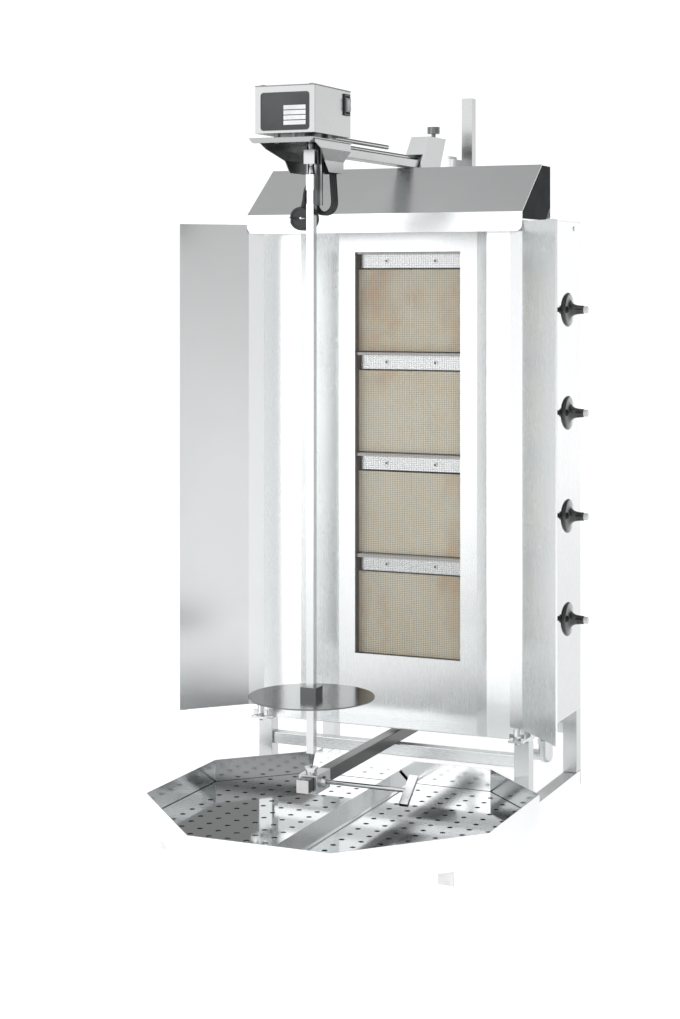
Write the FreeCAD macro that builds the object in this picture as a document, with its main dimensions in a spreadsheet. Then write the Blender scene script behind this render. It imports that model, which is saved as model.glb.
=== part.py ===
import FreeCAD, Part
import math
import os
import re

import Sketcher

# A free-standing gas kebab grill: a sheet-metal casing with four ceramic burners on a tube frame,
# two side wings, a hood, a pull-out drip tray and a vertical spit that a geared motor turns.
# Y sizes are written from the plane of the burner opening, with +Y to the back, X from the plane of
# symmetry, with +X on the knobs' side, and Z from the floor.

doc = FreeCAD.newDocument("kebab_grill")
sheet = doc.addObject("Spreadsheet::Sheet", "sizes")
aliases = set()
nodes = {}

AXES = {"x": FreeCAD.Vector(1, 0, 0), "y": FreeCAD.Vector(0, 1, 0), "z": FreeCAD.Vector(0, 0, 1)}
PLANES = {
    "xy": FreeCAD.Rotation(),
    "yz": FreeCAD.Rotation(FreeCAD.Vector(1, 1, 1), 120),
    "xz": FreeCAD.Rotation(FreeCAD.Vector(1, 0, 0), 90),
}


def define(sizes):
    """Adds named sizes to the sheet, each a number or a formula of earlier names."""
    for name, value in sizes.items():
        cell = "A%d" % (len(aliases) + 1)
        sheet.set(cell, str(value))
        sheet.setAlias(cell, name)
        aliases.add(name)
    sheet.recompute()


def full(expression):
    """Puts the sheet's name before each of its aliases in an expression."""
    return re.sub(
        r"[A-Za-z_]\w*",
        lambda word: "sizes." + word.group(0) if word.group(0) in aliases else word.group(0),
        str(expression),
    )


def bind(item, path, expression):
    item.setExpression(path, full(expression))


def place(item, x, y, z):
    bind(item, "Placement.Base.x", x)
    bind(item, "Placement.Base.y", "plane_y + (%s)" % y)
    bind(item, "Placement.Base.z", z)


def box(x0, x1, y0, y1, z0, z1):
    """A block between two values on each axis."""
    solid = doc.addObject("Part::Box", "block")
    place(solid, x0, y0, z0)
    bind(solid, "Length", "(%s) - (%s)" % (x1, x0))
    bind(solid, "Width", "(%s) - (%s)" % (y1, y0))
    bind(solid, "Height", "(%s) - (%s)" % (z1, z0))
    return solid


def cylinder(x, y, z, radius, length, axis="z"):
    """A round bar from the centre of its first face along an axis."""
    solid = doc.addObject("Part::Cylinder", "bar")
    solid.Placement.Rotation = FreeCAD.Rotation(AXES["z"], AXES[axis])
    place(solid, x, y, z)
    bind(solid, "Radius", radius)
    bind(solid, "Height", length)
    return solid


def cone(x, y, z, radius_first, radius_last, length, axis="z"):
    solid = doc.addObject("Part::Cone", "cone")
    solid.Placement.Rotation = FreeCAD.Rotation(AXES["z"], AXES[axis])
    place(solid, x, y, z)
    bind(solid, "Radius1", radius_first)
    bind(solid, "Radius2", radius_last)
    bind(solid, "Height", length)
    return solid


def ball(x, y, z, radius):
    solid = doc.addObject("Part::Sphere", "ball")
    place(solid, x, y, z)
    bind(solid, "Radius", radius)
    return solid


def hexagon(x, y, z, across, length, axis="z"):
    """A hexagonal head or nut, given by its width across the flats."""
    solid = doc.addObject("Part::Prism", "hexagon")
    solid.Polygon = 6
    solid.Placement.Rotation = FreeCAD.Rotation(AXES["z"], AXES[axis])
    place(solid, x, y, z)
    bind(solid, "Circumradius", "(%s) / sqrt(3)" % across)
    bind(solid, "Height", length)
    return solid


def group(pieces):
    bundle = doc.addObject("Part::Compound", "pieces")
    bundle.Links = list(pieces)
    return bundle


def cut(solid, *tools):
    result = doc.addObject("Part::Cut", "cut")
    result.Base = solid
    result.Tool = tools[0] if len(tools) == 1 else group(tools)
    return result


def fuse(*pieces):
    result = doc.addObject("Part::MultiFuse", "joined")
    result.Shapes = list(pieces)
    result.Refine = True
    return result


def common(solid, other):
    result = doc.addObject("Part::MultiCommon", "common")
    result.Shapes = [solid, other]
    return result


def mirrored(solid):
    """The same piece on the other side of the plane of symmetry."""
    result = doc.addObject("Part::Mirroring", "other_side")
    result.Source = solid
    result.Normal = AXES["x"]
    return result


def number_of(expression):
    """What an expression of the sheet's names comes to, by way of a spare cell."""
    sheet.set("B1", "=" + str(expression))
    sheet.recompute()
    return float(sheet.get("B1"))


def outline(plane, points, closed, start):
    """A sketched polyline on a plane, each corner bound to the sheet."""
    sketch = doc.addObject("Sketcher::SketchObject", "outline")
    sketch.Placement.Rotation = PLANES[plane]
    if plane == "yz":
        place(sketch, start, "0", "0")
    elif plane == "xz":
        place(sketch, "0", start, "0")
    else:
        place(sketch, "0", "0", start)
    count = len(points) if closed else len(points) - 1
    spots = [FreeCAD.Vector(*(number_of(value) for value in point), 0) for point in points]
    for index in range(count):
        sketch.addGeometry(Part.LineSegment(spots[index], spots[(index + 1) % len(spots)]), False)
    for index in range(count if closed else count - 1):
        sketch.addConstraint(Sketcher.Constraint("Coincident", index, 2, (index + 1) % count, 1))
    for index, point in enumerate(points):
        line, end = (index, 1) if index < count else (index - 1, 2)
        for kind, expression in zip(("DistanceX", "DistanceY"), point):
            number = sketch.addConstraint(Sketcher.Constraint(kind, -1, 1, line, end, number_of(expression)))
            sketch.setExpression("Constraints[%d]" % number, full(expression))
    return sketch


def solid_of(sketch, axis, length):
    """A sketch's outline pulled along an axis."""
    pulled = doc.addObject("Part::Extrusion", "pulled")
    pulled.Base = sketch
    pulled.DirMode = "Custom"
    pulled.Dir = AXES[axis]
    bind(pulled, "LengthFwd", length)
    pulled.Solid = True
    return pulled


NORMALS = {"xy": "z", "yz": "x", "xz": "y"}


def plate(plane, points, start, length):
    """A flat piece with straight edges, from a start along its plane's normal."""
    return solid_of(outline(plane, points, True, start), NORMALS[plane], length)


def bent_sheet(plane, points, thickness, start, length):
    """Folded sheet metal: an open outline given thickness on one side and pulled along the fold."""
    skin = doc.addObject("Part::Offset2D", "skin")
    skin.Source = outline(plane, points, False, start)
    skin.Mode = "Skin"
    skin.Fill = True
    bind(skin, "Value", thickness)
    return solid_of(skin, NORMALS[plane], length)


def turned(points, x, y, z, axis="z"):
    """A round piece: a profile of distances along the axis and radii, turned about the axis."""
    body = doc.addObject("PartDesign::Body", "turned")
    body.Placement.Rotation = FreeCAD.Rotation(AXES["x"], AXES[axis])
    place(body, x, y, z)
    profile = outline("xy", points, True, "0")
    bind(profile, "Placement.Base.y", "0")
    body.addObject(profile)
    turn = body.newObject("PartDesign::Revolution", "turn")
    turn.Profile = profile
    turn.ReferenceAxis = (profile, ["H_Axis"])
    turn.Angle = 360
    body.Tip = turn
    return body


def square_tube(x0, x1, y0, y1, z0, z1, along):
    """A hollow square tube, open at both ends."""
    ends = {"x": [x0, x1], "y": [y0, y1], "z": [z0, z1]}
    inner = []
    for axis in "xyz":
        first, last = ends[axis]
        grow = "0" if axis == along else "tube_wall"
        inner += ["%s + %s" % (first, grow), "%s - %s" % (last, grow)]
    return cut(box(x0, x1, y0, y1, z0, z1), box(*inner))


def node(name, *pieces):
    """Names a sub-part; several pieces stay separate solids in it."""
    piece = pieces[0] if len(pieces) == 1 else group(pieces)
    piece.Label = name
    nodes[name] = piece
    return piece


# Whole object

overall_sizes = {
    "casing_setback": 69,
    "casing_depth": 286,
    "tray_behind": 34,
    "tray_depth": 553,
    "column_size": 20,
    "spacer": 1.5,
    "casing_front": "=-casing_setback",
    "rail_back": "=casing_front + casing_depth",
    "tray_back": "=-tray_behind",
    "tray_front": "=tray_back - tray_depth",
    "column_back": "=rail_back + spacer + column_size",
    "plane_y": "=-(tray_front + column_back) / 2",
}
define(overall_sizes)

# Frame of square tube

frame_sizes = {
    "tube": 25,
    "tube_wall": 1.5,
    "cap": 2,
    "frame_half": 244,
    "rail_length": 647,
    "rail_front": "=rail_back - rail_length",
    "post_step": 9,
    "post_front": "=casing_front - post_step",
    "leg_height": 111,
    "casing_bottom": "=tube + leg_height",
    "burner_pitch": 175,
    "opening_sill": 108,
    "opening_lap": 5,
    "opening_head": 54,
    "opening_bottom": "=casing_bottom + opening_sill",
    "opening_top": "=opening_bottom + 4 * burner_pitch - opening_lap",
    "casing_top": "=opening_top + opening_head",
    "cross_tube": 20,
    "bar_gap": 4.5,
    "bar_top": "=casing_bottom - bar_gap",
    "cross_top": "=bar_top - cross_tube",
    "metal": 1.5,
    "shade": 0.05,
}
define(frame_sizes)

rail = square_tube("frame_half - tube", "frame_half", "rail_front", "rail_back", "0", "tube", "y")
node("base_rails", rail, mirrored(rail))
front_post = square_tube(
    "frame_half - tube", "frame_half", "post_front", "post_front + tube", "tube", "casing_bottom", "z"
)
rear_post = square_tube(
    "frame_half - tube", "frame_half", "rail_back - tube", "rail_back", "tube", "casing_bottom", "z"
)
node("posts", front_post, mirrored(front_post), rear_post, mirrored(rear_post))
node(
    "cross_tubes",
    square_tube(
        "tube - frame_half", "frame_half - tube",
        "post_front + tube - cross_tube", "post_front + tube",
        "cross_top - cross_tube", "cross_top", "x",
    ),
    square_tube(
        "tube - frame_half", "frame_half - tube",
        "rail_back - cross_tube", "rail_back",
        "cross_top - cross_tube", "cross_top", "x",
    ),
)

bar_sizes = {
    "bar_half": "=cross_tube / 2",
    "bar_front": "=rail_front",
}
define(bar_sizes)
node(
    "lower_bar",
    square_tube("-bar_half", "bar_half", "bar_front", "rail_back", "cross_top", "bar_top", "y"),
)
rail_cap = box("frame_half - tube", "frame_half", "rail_front - cap", "rail_front", "0", "tube")
node(
    "tube_end_caps",
    rail_cap,
    mirrored(rail_cap),
    box("-bar_half", "bar_half", "bar_front - cap", "bar_front", "cross_top", "bar_top"),
)

# Casing

casing_sizes = {
    "opening_half": 97,
    "strip_wide": 30,
    "strip_half": "=opening_half + strip_wide",
    "reflector_wide": 41.5,
    "reflector_half": "=strip_half + reflector_wide",
    "inside_half": "=frame_half - metal",
    "panel_bottom": "=casing_bottom + metal",
    "panel_top": "=casing_top - metal",
    "knob_y": 76,
    "stem_radius": 4,
    "side_screw_inset": 40,
    "side_screw_drop": 13,
    "side_screw_y": "=rail_back - side_screw_inset",
    "side_screw_z": "=casing_top - side_screw_drop",
    "screw_radius": 4,
    "inlet_inset": 20,
    "inlet_x": "=frame_half - inlet_inset",
    "inlet_pipe": 9,
}
define(casing_sizes)

knob_sizes = {
    "knob_drop": 99,
    "knob_height_1": "=opening_top - knob_drop",
    "knob_height_2": "=knob_height_1 - burner_pitch",
    "knob_height_3": "=knob_height_2 - burner_pitch",
    "knob_height_4": "=knob_height_3 - burner_pitch",
}
define(knob_sizes)
knob_heights = ["knob_height_%d" % number for number in range(1, 5)]

node(
    "bottom_plate",
    cut(
        box("-frame_half", "frame_half", "casing_front", "rail_back", "casing_bottom", "panel_bottom"),
        cylinder("inlet_x", "knob_y", "casing_bottom - 1", "inlet_pipe + shade", "metal + 2"),
    ),
)
node(
    "top_plate",
    box("-frame_half", "frame_half", "casing_front", "rail_back", "panel_top", "casing_top"),
)
side = box("inside_half", "frame_half", "casing_front", "rail_back", "panel_bottom", "panel_top")
stem_holes = [
    cylinder("inside_half - 1", "knob_y", height, "stem_radius + shade", "metal + 2", "x")
    for height in knob_heights
]
side_screw = cylinder("frame_half", "side_screw_y", "side_screw_z", "screw_radius", "metal", "x")
node("side_panel_right", cut(side, *stem_holes), side_screw)
node(
    "side_panel_left",
    box("-frame_half", "-inside_half", "casing_front", "rail_back", "panel_bottom", "panel_top"),
    mirrored(side_screw),
)
node(
    "back_panel",
    box("-inside_half", "inside_half", "rail_back - metal", "rail_back", "panel_bottom", "panel_top"),
)
node(
    "centre_front_frame",
    cut(
        box("-strip_half", "strip_half", "0", "metal", "panel_bottom", "panel_top"),
        box("-opening_half", "opening_half", "-1", "metal + 1", "opening_bottom", "opening_top"),
    ),
)
reflector = bent_sheet(
    "xy",
    [
        ("strip_half", "metal"),
        ("strip_half", "0"),
        ("reflector_half", "casing_front"),
        ("inside_half", "casing_front"),
    ],
    "-metal",
    "panel_bottom",
    "panel_top - panel_bottom",
)
node("reflector_right", reflector)
node("reflector_left", mirrored(reflector))

# Hood

hood_sizes = {
    "hood_overhang": 2.5,
    "hood_reach": 51,
    "lip_height": 32,
    "lip_rise": 8,
    "lip_round": 12,
    "slope_height": 81,
    "slope_depth": 104,
    "ridge_depth": 48,
    "foot_depth": 18,
    "end_drop": 3,
    "hood_half": "=frame_half + hood_overhang",
    "hood_front": "=casing_front - hood_reach",
    "lip_top": "=casing_top + lip_rise",
    "lip_bottom": "=lip_top - lip_height",
    "hood_top": "=lip_top + slope_height",
    "hood_ridge": "=hood_front + slope_depth",
    "hood_rear": "=hood_ridge + ridge_depth",
    "hood_foot": "=hood_rear + foot_depth",
    "end_bottom": "=casing_top - end_drop",
}
define(hood_sizes)
hood_sheet = bent_sheet(
    "yz",
    [
        ("hood_front", "lip_bottom"),
        ("hood_front", "lip_top"),
        ("hood_ridge", "hood_top"),
        ("hood_rear", "hood_top"),
        ("hood_rear", "casing_top + metal"),
        ("hood_foot", "casing_top + metal"),
    ],
    "metal",
    "-hood_half",
    "2 * hood_half",
)
lip_corner = cut(
    box(
        "hood_half - lip_round", "hood_half + 1", "hood_front - 1", "hood_front + metal + 1",
        "lip_bottom - 1", "lip_bottom + lip_round",
    ),
    cylinder(
        "hood_half - lip_round", "hood_front - 2", "lip_bottom + lip_round",
        "lip_round", "metal + 4", "y",
    ),
)
node("hood", cut(hood_sheet, lip_corner, mirrored(lip_corner)))
hood_end = plate(
    "yz",
    [
        ("hood_front + metal + 0.2", "end_bottom"),
        ("hood_front + metal + 0.2", "lip_top - metal"),
        ("hood_ridge + 0.4", "hood_top - metal - 0.4"),
        ("hood_rear - metal - 0.2", "hood_top - metal - 0.4"),
        ("hood_rear - metal - 0.2", "end_bottom + tube"),
        ("hood_rear - tube", "end_bottom"),
    ],
    "frame_half + 0.2",
    "hood_half - frame_half - 0.2",
)
node("hood_end_plates", hood_end, mirrored(hood_end))

# Burners

burner_sizes = {
    "burner_gap": 0.1,
    "pan_side": 5,
    "pan_wall": 4,
    "pan_half": "=opening_half + pan_side",
    "pan_inside": "=pan_half - pan_wall",
    "guard_thick": 1,
    "pan_front": "=metal + guard_thick",
    "pan_depth": 57.5,
    "pan_back": "=pan_front + pan_depth",
    "shelf": 3.5,
    "strip_height": 24,
    "tile_gap": 3,
    "tile_floor": 3.5,
    "tile_height": "=burner_pitch - shelf - strip_height - tile_gap - tile_floor",
    "tile_setback": 17.5,
    "tile_face": "=pan_front + tile_setback",
    "tile_depth": 13,
    "tile_seam": 0.5,
    "strip_inset": 10,
    "strip_left": "=pan_half - strip_inset",
    "strip_screw_x": 45,
    "guard_wire": 1.2,
    "guard_columns": 12,
    "guard_rows": 24,
    "guard_side": 8,
    "guard_half": "=opening_half + guard_side",
    "guard_edge": 4,
}
define(burner_sizes)

pans, tiles, strips = [], [], []
for number in range(4):
    top = "opening_top - %d * burner_pitch" % number
    floor = "%s - burner_pitch + burner_gap" % top
    pans.append(
        cut(
            box("-pan_half", "pan_half", "pan_front", "pan_back", floor, top),
            box(
                "-pan_inside", "pan_inside", "pan_front - 1", "pan_back - metal",
                "%s + metal" % floor, "%s - shelf" % top,
            ),
        )
    )
    strip_top = "%s - shelf" % top
    tile_top = "%s - shelf - strip_height - tile_gap" % top
    for first, last in (("-pan_inside", "-tile_seam"), ("tile_seam", "pan_inside")):
        tiles.append(
            box(first, last, "tile_face", "tile_face + tile_depth", "%s - tile_height" % tile_top, tile_top)
        )
    strips.append(
        box(
            "-strip_left", "pan_inside", "tile_face - metal", "tile_face",
            "%s - strip_height" % strip_top, strip_top,
        )
    )
    for side_x in ("-strip_screw_x", "strip_screw_x"):
        strips.append(
            cylinder(
                side_x, "tile_face - 2 * metal", "%s - strip_height / 2" % strip_top,
                "screw_radius", "metal", "y",
            )
        )
node("burner_pans", *pans)
node("ceramic_tiles", *tiles)
node("burner_strips", *strips)

columns = int(number_of("guard_columns"))
rows = int(number_of("guard_rows"))
guard_step_x = "2 * opening_half / guard_columns"
guard_step_z = "(opening_top - opening_bottom) / guard_rows"
gaps = []
for column in range(columns):
    for row in range(rows):
        left = "-opening_half + %d * %s + guard_wire / 2" % (column, guard_step_x)
        low = "opening_bottom + %d * %s + guard_wire / 2" % (row, guard_step_z)
        gaps.append(
            box(
                left, "%s + %s - guard_wire" % (left, guard_step_x),
                "metal - 1", "pan_front + 1",
                low, "%s + %s - guard_wire" % (low, guard_step_z),
            )
        )
node(
    "mesh_guard",
    cut(
        box(
            "-guard_half", "guard_half", "metal", "pan_front",
            "opening_bottom - guard_edge", "opening_top + guard_edge",
        ),
        *gaps,
    ),
)

# Gas

gas_sizes = {
    "manifold_drop": 29,
    "manifold_above": 60,
    "manifold_bottom": "=casing_bottom - manifold_drop",
    "manifold_top": "=knob_height_1 + manifold_above",
    "valve_wide": 29,
    "valve_inset": 4,
    "valve_before": 36,
    "valve_deep": 50,
    "valve_right": "=frame_half - valve_inset",
    "valve_left": "=valve_right - valve_wide",
    "valve_front": "=knob_y - valve_before",
    "valve_back": "=valve_front + valve_deep",
    "valve_half": 13,
    "stem_inside": 9,
    "stem_start": "=frame_half - stem_inside",
    "feed_before": 28,
    "feed_y": "=knob_y - feed_before",
    "feed_radius": 5,
    "elbow_drop": 27,
    "elbow_reach": 44,
    "elbow_z": "=manifold_bottom - elbow_drop",
    "elbow_radius": 12,
    "elbow_collar": 14,
    "elbow_collar_height": 7,
    "elbow_end": "=inlet_x - elbow_reach",
}
define(gas_sizes)

node(
    "gas_manifold",
    cylinder("inlet_x", "knob_y", "manifold_bottom", "inlet_pipe", "manifold_top - manifold_bottom"),
)
valves, feeds = [], []
for height in knob_heights:
    valves.append(
        cut(
            box(
                "valve_left", "valve_right", "valve_front", "valve_back",
                "%s - valve_half" % height, "%s + valve_half" % height,
            ),
            cylinder("inlet_x", "knob_y", "%s - tube" % height, "inlet_pipe + shade", "2 * tube"),
            cylinder("stem_start", "knob_y", height, "stem_radius + shade", "tube", "x"),
        )
    )
    feeds.append(cylinder("pan_half", "feed_y", height, "feed_radius", "valve_left - pan_half", "x"))
node("gas_valves", *valves)
node("burner_feed_pipes", *feeds)
node(
    "inlet_elbow",
    fuse(
        cylinder(
            "inlet_x", "knob_y", "manifold_bottom - elbow_collar_height",
            "elbow_collar", "elbow_collar_height",
        ),
        cylinder("inlet_x", "knob_y", "elbow_z", "elbow_radius", "manifold_bottom - elbow_z - 1"),
        ball("inlet_x", "knob_y", "elbow_z", "elbow_radius"),
        cylinder("elbow_end", "knob_y", "elbow_z", "inlet_pipe", "inlet_x - elbow_end", "x"),
        cylinder("elbow_end", "knob_y", "elbow_z", "elbow_radius", "elbow_collar_height", "x"),
    ),
)

# Control knobs, each with its stem

grip_sizes = {
    "knob_gap": 13,
    "knob_start": "=frame_half + knob_gap",
    "skirt_radius": 29,
    "neck_radius": 7.5,
    "knob_length": 35,
    "tip_radius": 6,
    "tip_length": 7,
}
define(grip_sizes)

for number, height in enumerate(knob_heights, 1):
    knob = turned(
        [
            ("0", "0"),
            ("0", "skirt_radius * 0.62"),
            ("3", "skirt_radius * 0.88"),
            ("6", "skirt_radius"),
            ("8.5", "skirt_radius"),
            ("10.5", "skirt_radius * 0.9"),
            ("13", "skirt_radius * 0.62"),
            ("16", "skirt_radius * 0.42"),
            ("21", "skirt_radius * 0.29"),
            ("25", "neck_radius"),
            ("knob_length", "neck_radius"),
            ("knob_length", "0"),
        ],
        "knob_start", "knob_y", height, "x",
    )
    stem = cylinder(
        "stem_start + shade", "knob_y", height, "stem_radius", "knob_start - stem_start - shade", "x"
    )
    tip = cylinder("knob_start + knob_length", "knob_y", height, "tip_radius", "tip_length", "x")
    node("knob_%d" % number, knob, stem, tip)

# Side wings on vertical bolts

wing_sizes = {
    "wing_lift": 29,
    "wing_drop": 8,
    "wing_bottom": "=casing_bottom + wing_lift",
    "wing_top": "=casing_top - wing_drop",
    "flange_inset": 23,
    "flange_reach": 37,
    "bend_out": 1.3,
    "bend_reach": 9.6,
    "wing_across": 85.4,
    "wing_forward": 90.2,
    "flange_x": "=frame_half - flange_inset",
    "flange_y": "=casing_front - flange_reach",
    "bend_x": "=frame_half + bend_out",
    "bend_y": "=flange_y - bend_reach",
    "outer_x": "=bend_x + wing_across",
    "outer_y": "=bend_y - wing_forward",
    "hem_share": 0.887,
    "wing_length": "=sqrt((outer_x - bend_x) ^ 2 + (outer_y - bend_y) ^ 2)",
    "hem_shift_x": "=metal * (outer_y - bend_y) / wing_length",
    "hem_shift_y": "=-metal * (outer_x - bend_x) / wing_length",
    "tab": 2,
    "tab_depth": 16,
    "tab_back": "=flange_y + tab_depth",
    "hinge_inset": 13,
    "hinge_reach": 29,
    "hinge_x": "=frame_half - hinge_inset",
    "hinge_y": "=casing_front - hinge_reach",
    "hinge_radius": 4,
    "lug_reach": 41,
    "lug_front": "=casing_front - lug_reach",
    "lug_lift": 4,
    "lug_bottom": "=casing_bottom + lug_lift",
    "lug_plate": 4,
    "lug_gap": 2,
    "upper_lug": "=wing_top + lug_gap",
    "upper_plate": 2.5,
    "nut_height": 8,
    "ear_half": 13,
    "ear_thick": 4,
    "nut_radius": 7,
    "spacer_radius": 6,
    "spacer_gap": 0.2,
    "pin_below": 10,
    "pin_above": 5,
}
define(wing_sizes)

hinge_hole_low = cylinder("hinge_x", "hinge_y", "lug_bottom - tube", "hinge_radius + shade", "3 * tube")
hinge_hole_high = cylinder("hinge_x", "hinge_y", "wing_top - tube", "hinge_radius + shade", "3 * tube")
tab_outline = [
    ("flange_x + 0.5", "flange_y"),
    ("bend_x", "bend_y + 0.5"),
    ("bend_x - 2", "tab_back"),
    ("flange_x", "tab_back"),
]
hem_x = "bend_x + (outer_x - bend_x) * hem_share"
hem_y = "bend_y + (outer_y - bend_y) * hem_share"
wing = fuse(
    bent_sheet(
        "xy",
        [("flange_x", "flange_y"), ("bend_x", "bend_y"), ("outer_x", "outer_y")],
        "-metal",
        "wing_bottom",
        "wing_top - wing_bottom",
    ),
    plate(
        "xy",
        [
            (hem_x, hem_y),
            ("outer_x", "outer_y"),
            ("outer_x + hem_shift_x", "outer_y + hem_shift_y"),
            (hem_x + " + hem_shift_x", hem_y + " + hem_shift_y"),
        ],
        "wing_bottom",
        "wing_top - wing_bottom",
    ),
    cut(plate("xy", tab_outline, "wing_bottom", "tab"), hinge_hole_low),
    cut(plate("xy", tab_outline, "wing_top - tab", "tab"), hinge_hole_high),
)
node("wing_right", wing)
node("wing_left", mirrored(wing))
lower_lug = cut(
    fuse(
        box(
            "frame_half - tube", "frame_half", "lug_front", "casing_front - shade",
            "lug_bottom", "lug_bottom + lug_plate",
        ),
        box(
            "frame_half - tube", "frame_half", "post_front", "casing_front - shade",
            "casing_bottom", "lug_bottom + shade",
        ),
    ),
    cylinder("hinge_x", "hinge_y", "lug_bottom - 1", "hinge_radius + shade", "lug_plate + 2"),
)
upper_lug = cut(
    box(
        "frame_half - tube", "frame_half", "lug_front", "casing_front",
        "upper_lug", "upper_lug + upper_plate",
    ),
    cylinder("hinge_x", "hinge_y", "upper_lug - 1", "hinge_radius + shade", "upper_plate + 2"),
)
node("wing_lugs", lower_lug, mirrored(lower_lug), upper_lug, mirrored(upper_lug))
nut_bottom = "lug_bottom + lug_plate"
lower_bolt = fuse(
    cylinder(
        "hinge_x", "hinge_y", "casing_bottom", "hinge_radius",
        "wing_bottom + tab + pin_above - casing_bottom",
    ),
    cylinder("hinge_x", "hinge_y", nut_bottom, "nut_radius", "nut_height"),
    box(
        "hinge_x - ear_half", "hinge_x + ear_half",
        "hinge_y - ear_thick / 2", "hinge_y + ear_thick / 2",
        nut_bottom + " + 1", nut_bottom + " + nut_height + 1",
    ),
    cylinder(
        "hinge_x", "hinge_y", nut_bottom, "spacer_radius",
        "wing_bottom - spacer_gap - lug_bottom - lug_plate",
    ),
)
upper_bolt = fuse(
    cylinder(
        "hinge_x", "hinge_y", "wing_top - pin_below", "hinge_radius",
        "upper_lug + upper_plate + 1 - wing_top + pin_below",
    ),
    cylinder("hinge_x", "hinge_y", "upper_lug + upper_plate", "nut_radius", "ear_thick"),
)
node("wing_hinge_bolts", lower_bolt, mirrored(lower_bolt), upper_bolt, mirrored(upper_bolt))

# Drip tray, seen from above an octagon

tray_sizes = {
    "nose_half": 115,
    "tray_nose": "=nose_half",
    "tray_half": 288,
    "nose_depth": 189,
    "tray_straight": 240,
    "tray_side_front": "=tray_front + nose_depth",
    "tray_side_back": "=tray_side_front + tray_straight",
    "tray_tail": 164,
    "tray_bottom": "=tube",
    "tray_height": 50,
    "tray_rim": "=tray_bottom + tray_height",
    "tray_metal": 1.2,
    "plate_inset": 3,
    "plate_lift": 13,
    "plate_top": "=tray_bottom + plate_lift",
    "plate_seam": 0.5,
    "hole_step": 32,
    "hole_radius": 4.5,
    "hole_margin": 14,
    "leg_width": 10,
    "ridge_half": 25,
    "ridge_foot": 6,
    "ridge_rise": 20,
    "ridge_inset": 7,
}
define(tray_sizes)

half_tray = [
    ("tray_nose", "tray_front"),
    ("tray_half", "tray_side_front"),
    ("tray_half", "tray_side_back"),
    ("tray_tail", "tray_back"),
]
tray_outline = half_tray + [("-" + x, y) for x, y in reversed(half_tray)]


def inset_plate(inset, start, length):
    """The tray's outline drawn in by an even margin, as a flat piece."""
    smaller = doc.addObject("Part::Offset2D", "smaller")
    smaller.Source = outline("xy", tray_outline, True, start)
    smaller.Join = "Intersection"
    bind(smaller, "Value", "-(%s)" % inset)
    return solid_of(smaller, "z", length)


tray = node(
    "drip_tray",
    cut(
        plate("xy", tray_outline, "tray_bottom", "tray_rim - tray_bottom"),
        inset_plate("tray_metal", "tray_bottom + tray_metal", "tray_rim - tray_bottom"),
    ),
)

# The holes lie on a square grid, where they keep clear of the slanted and the straight edges.
step = number_of("hole_step")
margin = number_of("hole_margin + plate_inset")
corners = [(number_of(x), number_of(y)) for x, y in half_tray]
edges = list(zip([(0.0, corners[0][1])] + corners, corners + [(0.0, corners[-1][1])]))


def inside(x, y):
    """True where a hole's centre keeps its margin from each edge of the half tray."""
    for (x0, y0), (x1, y1) in edges:
        length = math.hypot(x1 - x0, y1 - y0)
        if ((x1 - x0) * (y - y0) - (y1 - y0) * (x - x0)) / length < margin:
            return False
    return True


first_row = corners[0][1] + step
row_count = int((corners[-1][1] - first_row) / step) + 1
column_count = int(corners[1][0] / step)
holes = []
for column in range(column_count):
    for row in range(row_count):
        x_text = "ridge_half + hole_step * %g" % (column + 0.75)
        y_text = "tray_front + hole_step * %d" % (row + 1)
        if inside(number_of(x_text), number_of(y_text)):
            holes.append(cylinder(x_text, y_text, "plate_top - 2 * metal", "hole_radius", "3 * metal"))
half_plate = cut(
    common(
        inset_plate("plate_inset", "plate_top - metal", "metal"),
        box("plate_seam", "tray_half", "tray_front", "tray_back", "tray_bottom", "tray_rim"),
    ),
    *holes,
)
legs = [
    box(x, "%s + metal" % x, y, "%s + leg_width" % y, "tray_bottom + tray_metal", "plate_top - metal / 2")
    for x, y in (
        ("tray_half - tube", "tray_side_front"),
        ("tray_half - tube", "tray_side_back - leg_width"),
        ("ridge_half / 2", "tray_front + tube"),
        ("ridge_half / 2", "tray_back - tube"),
    )
]
half_plate = fuse(half_plate, *legs)
node("perforated_plates", half_plate, mirrored(half_plate))
node(
    "centre_ridge",
    bent_sheet(
        "xz",
        [
            ("-ridge_half", "plate_top + metal"),
            ("ridge_foot - ridge_half", "plate_top + metal"),
            ("0", "plate_top + ridge_rise"),
            ("ridge_half - ridge_foot", "plate_top + metal"),
            ("ridge_half", "plate_top + metal"),
        ],
        "-metal",
        "tray_front + ridge_inset",
        "tray_back - tray_front - 2 * ridge_inset",
    ),
)

# Lower arm: a carriage on the fixed bar carries the bearing cup, and a screw with a flat paddle clamps it

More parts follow.
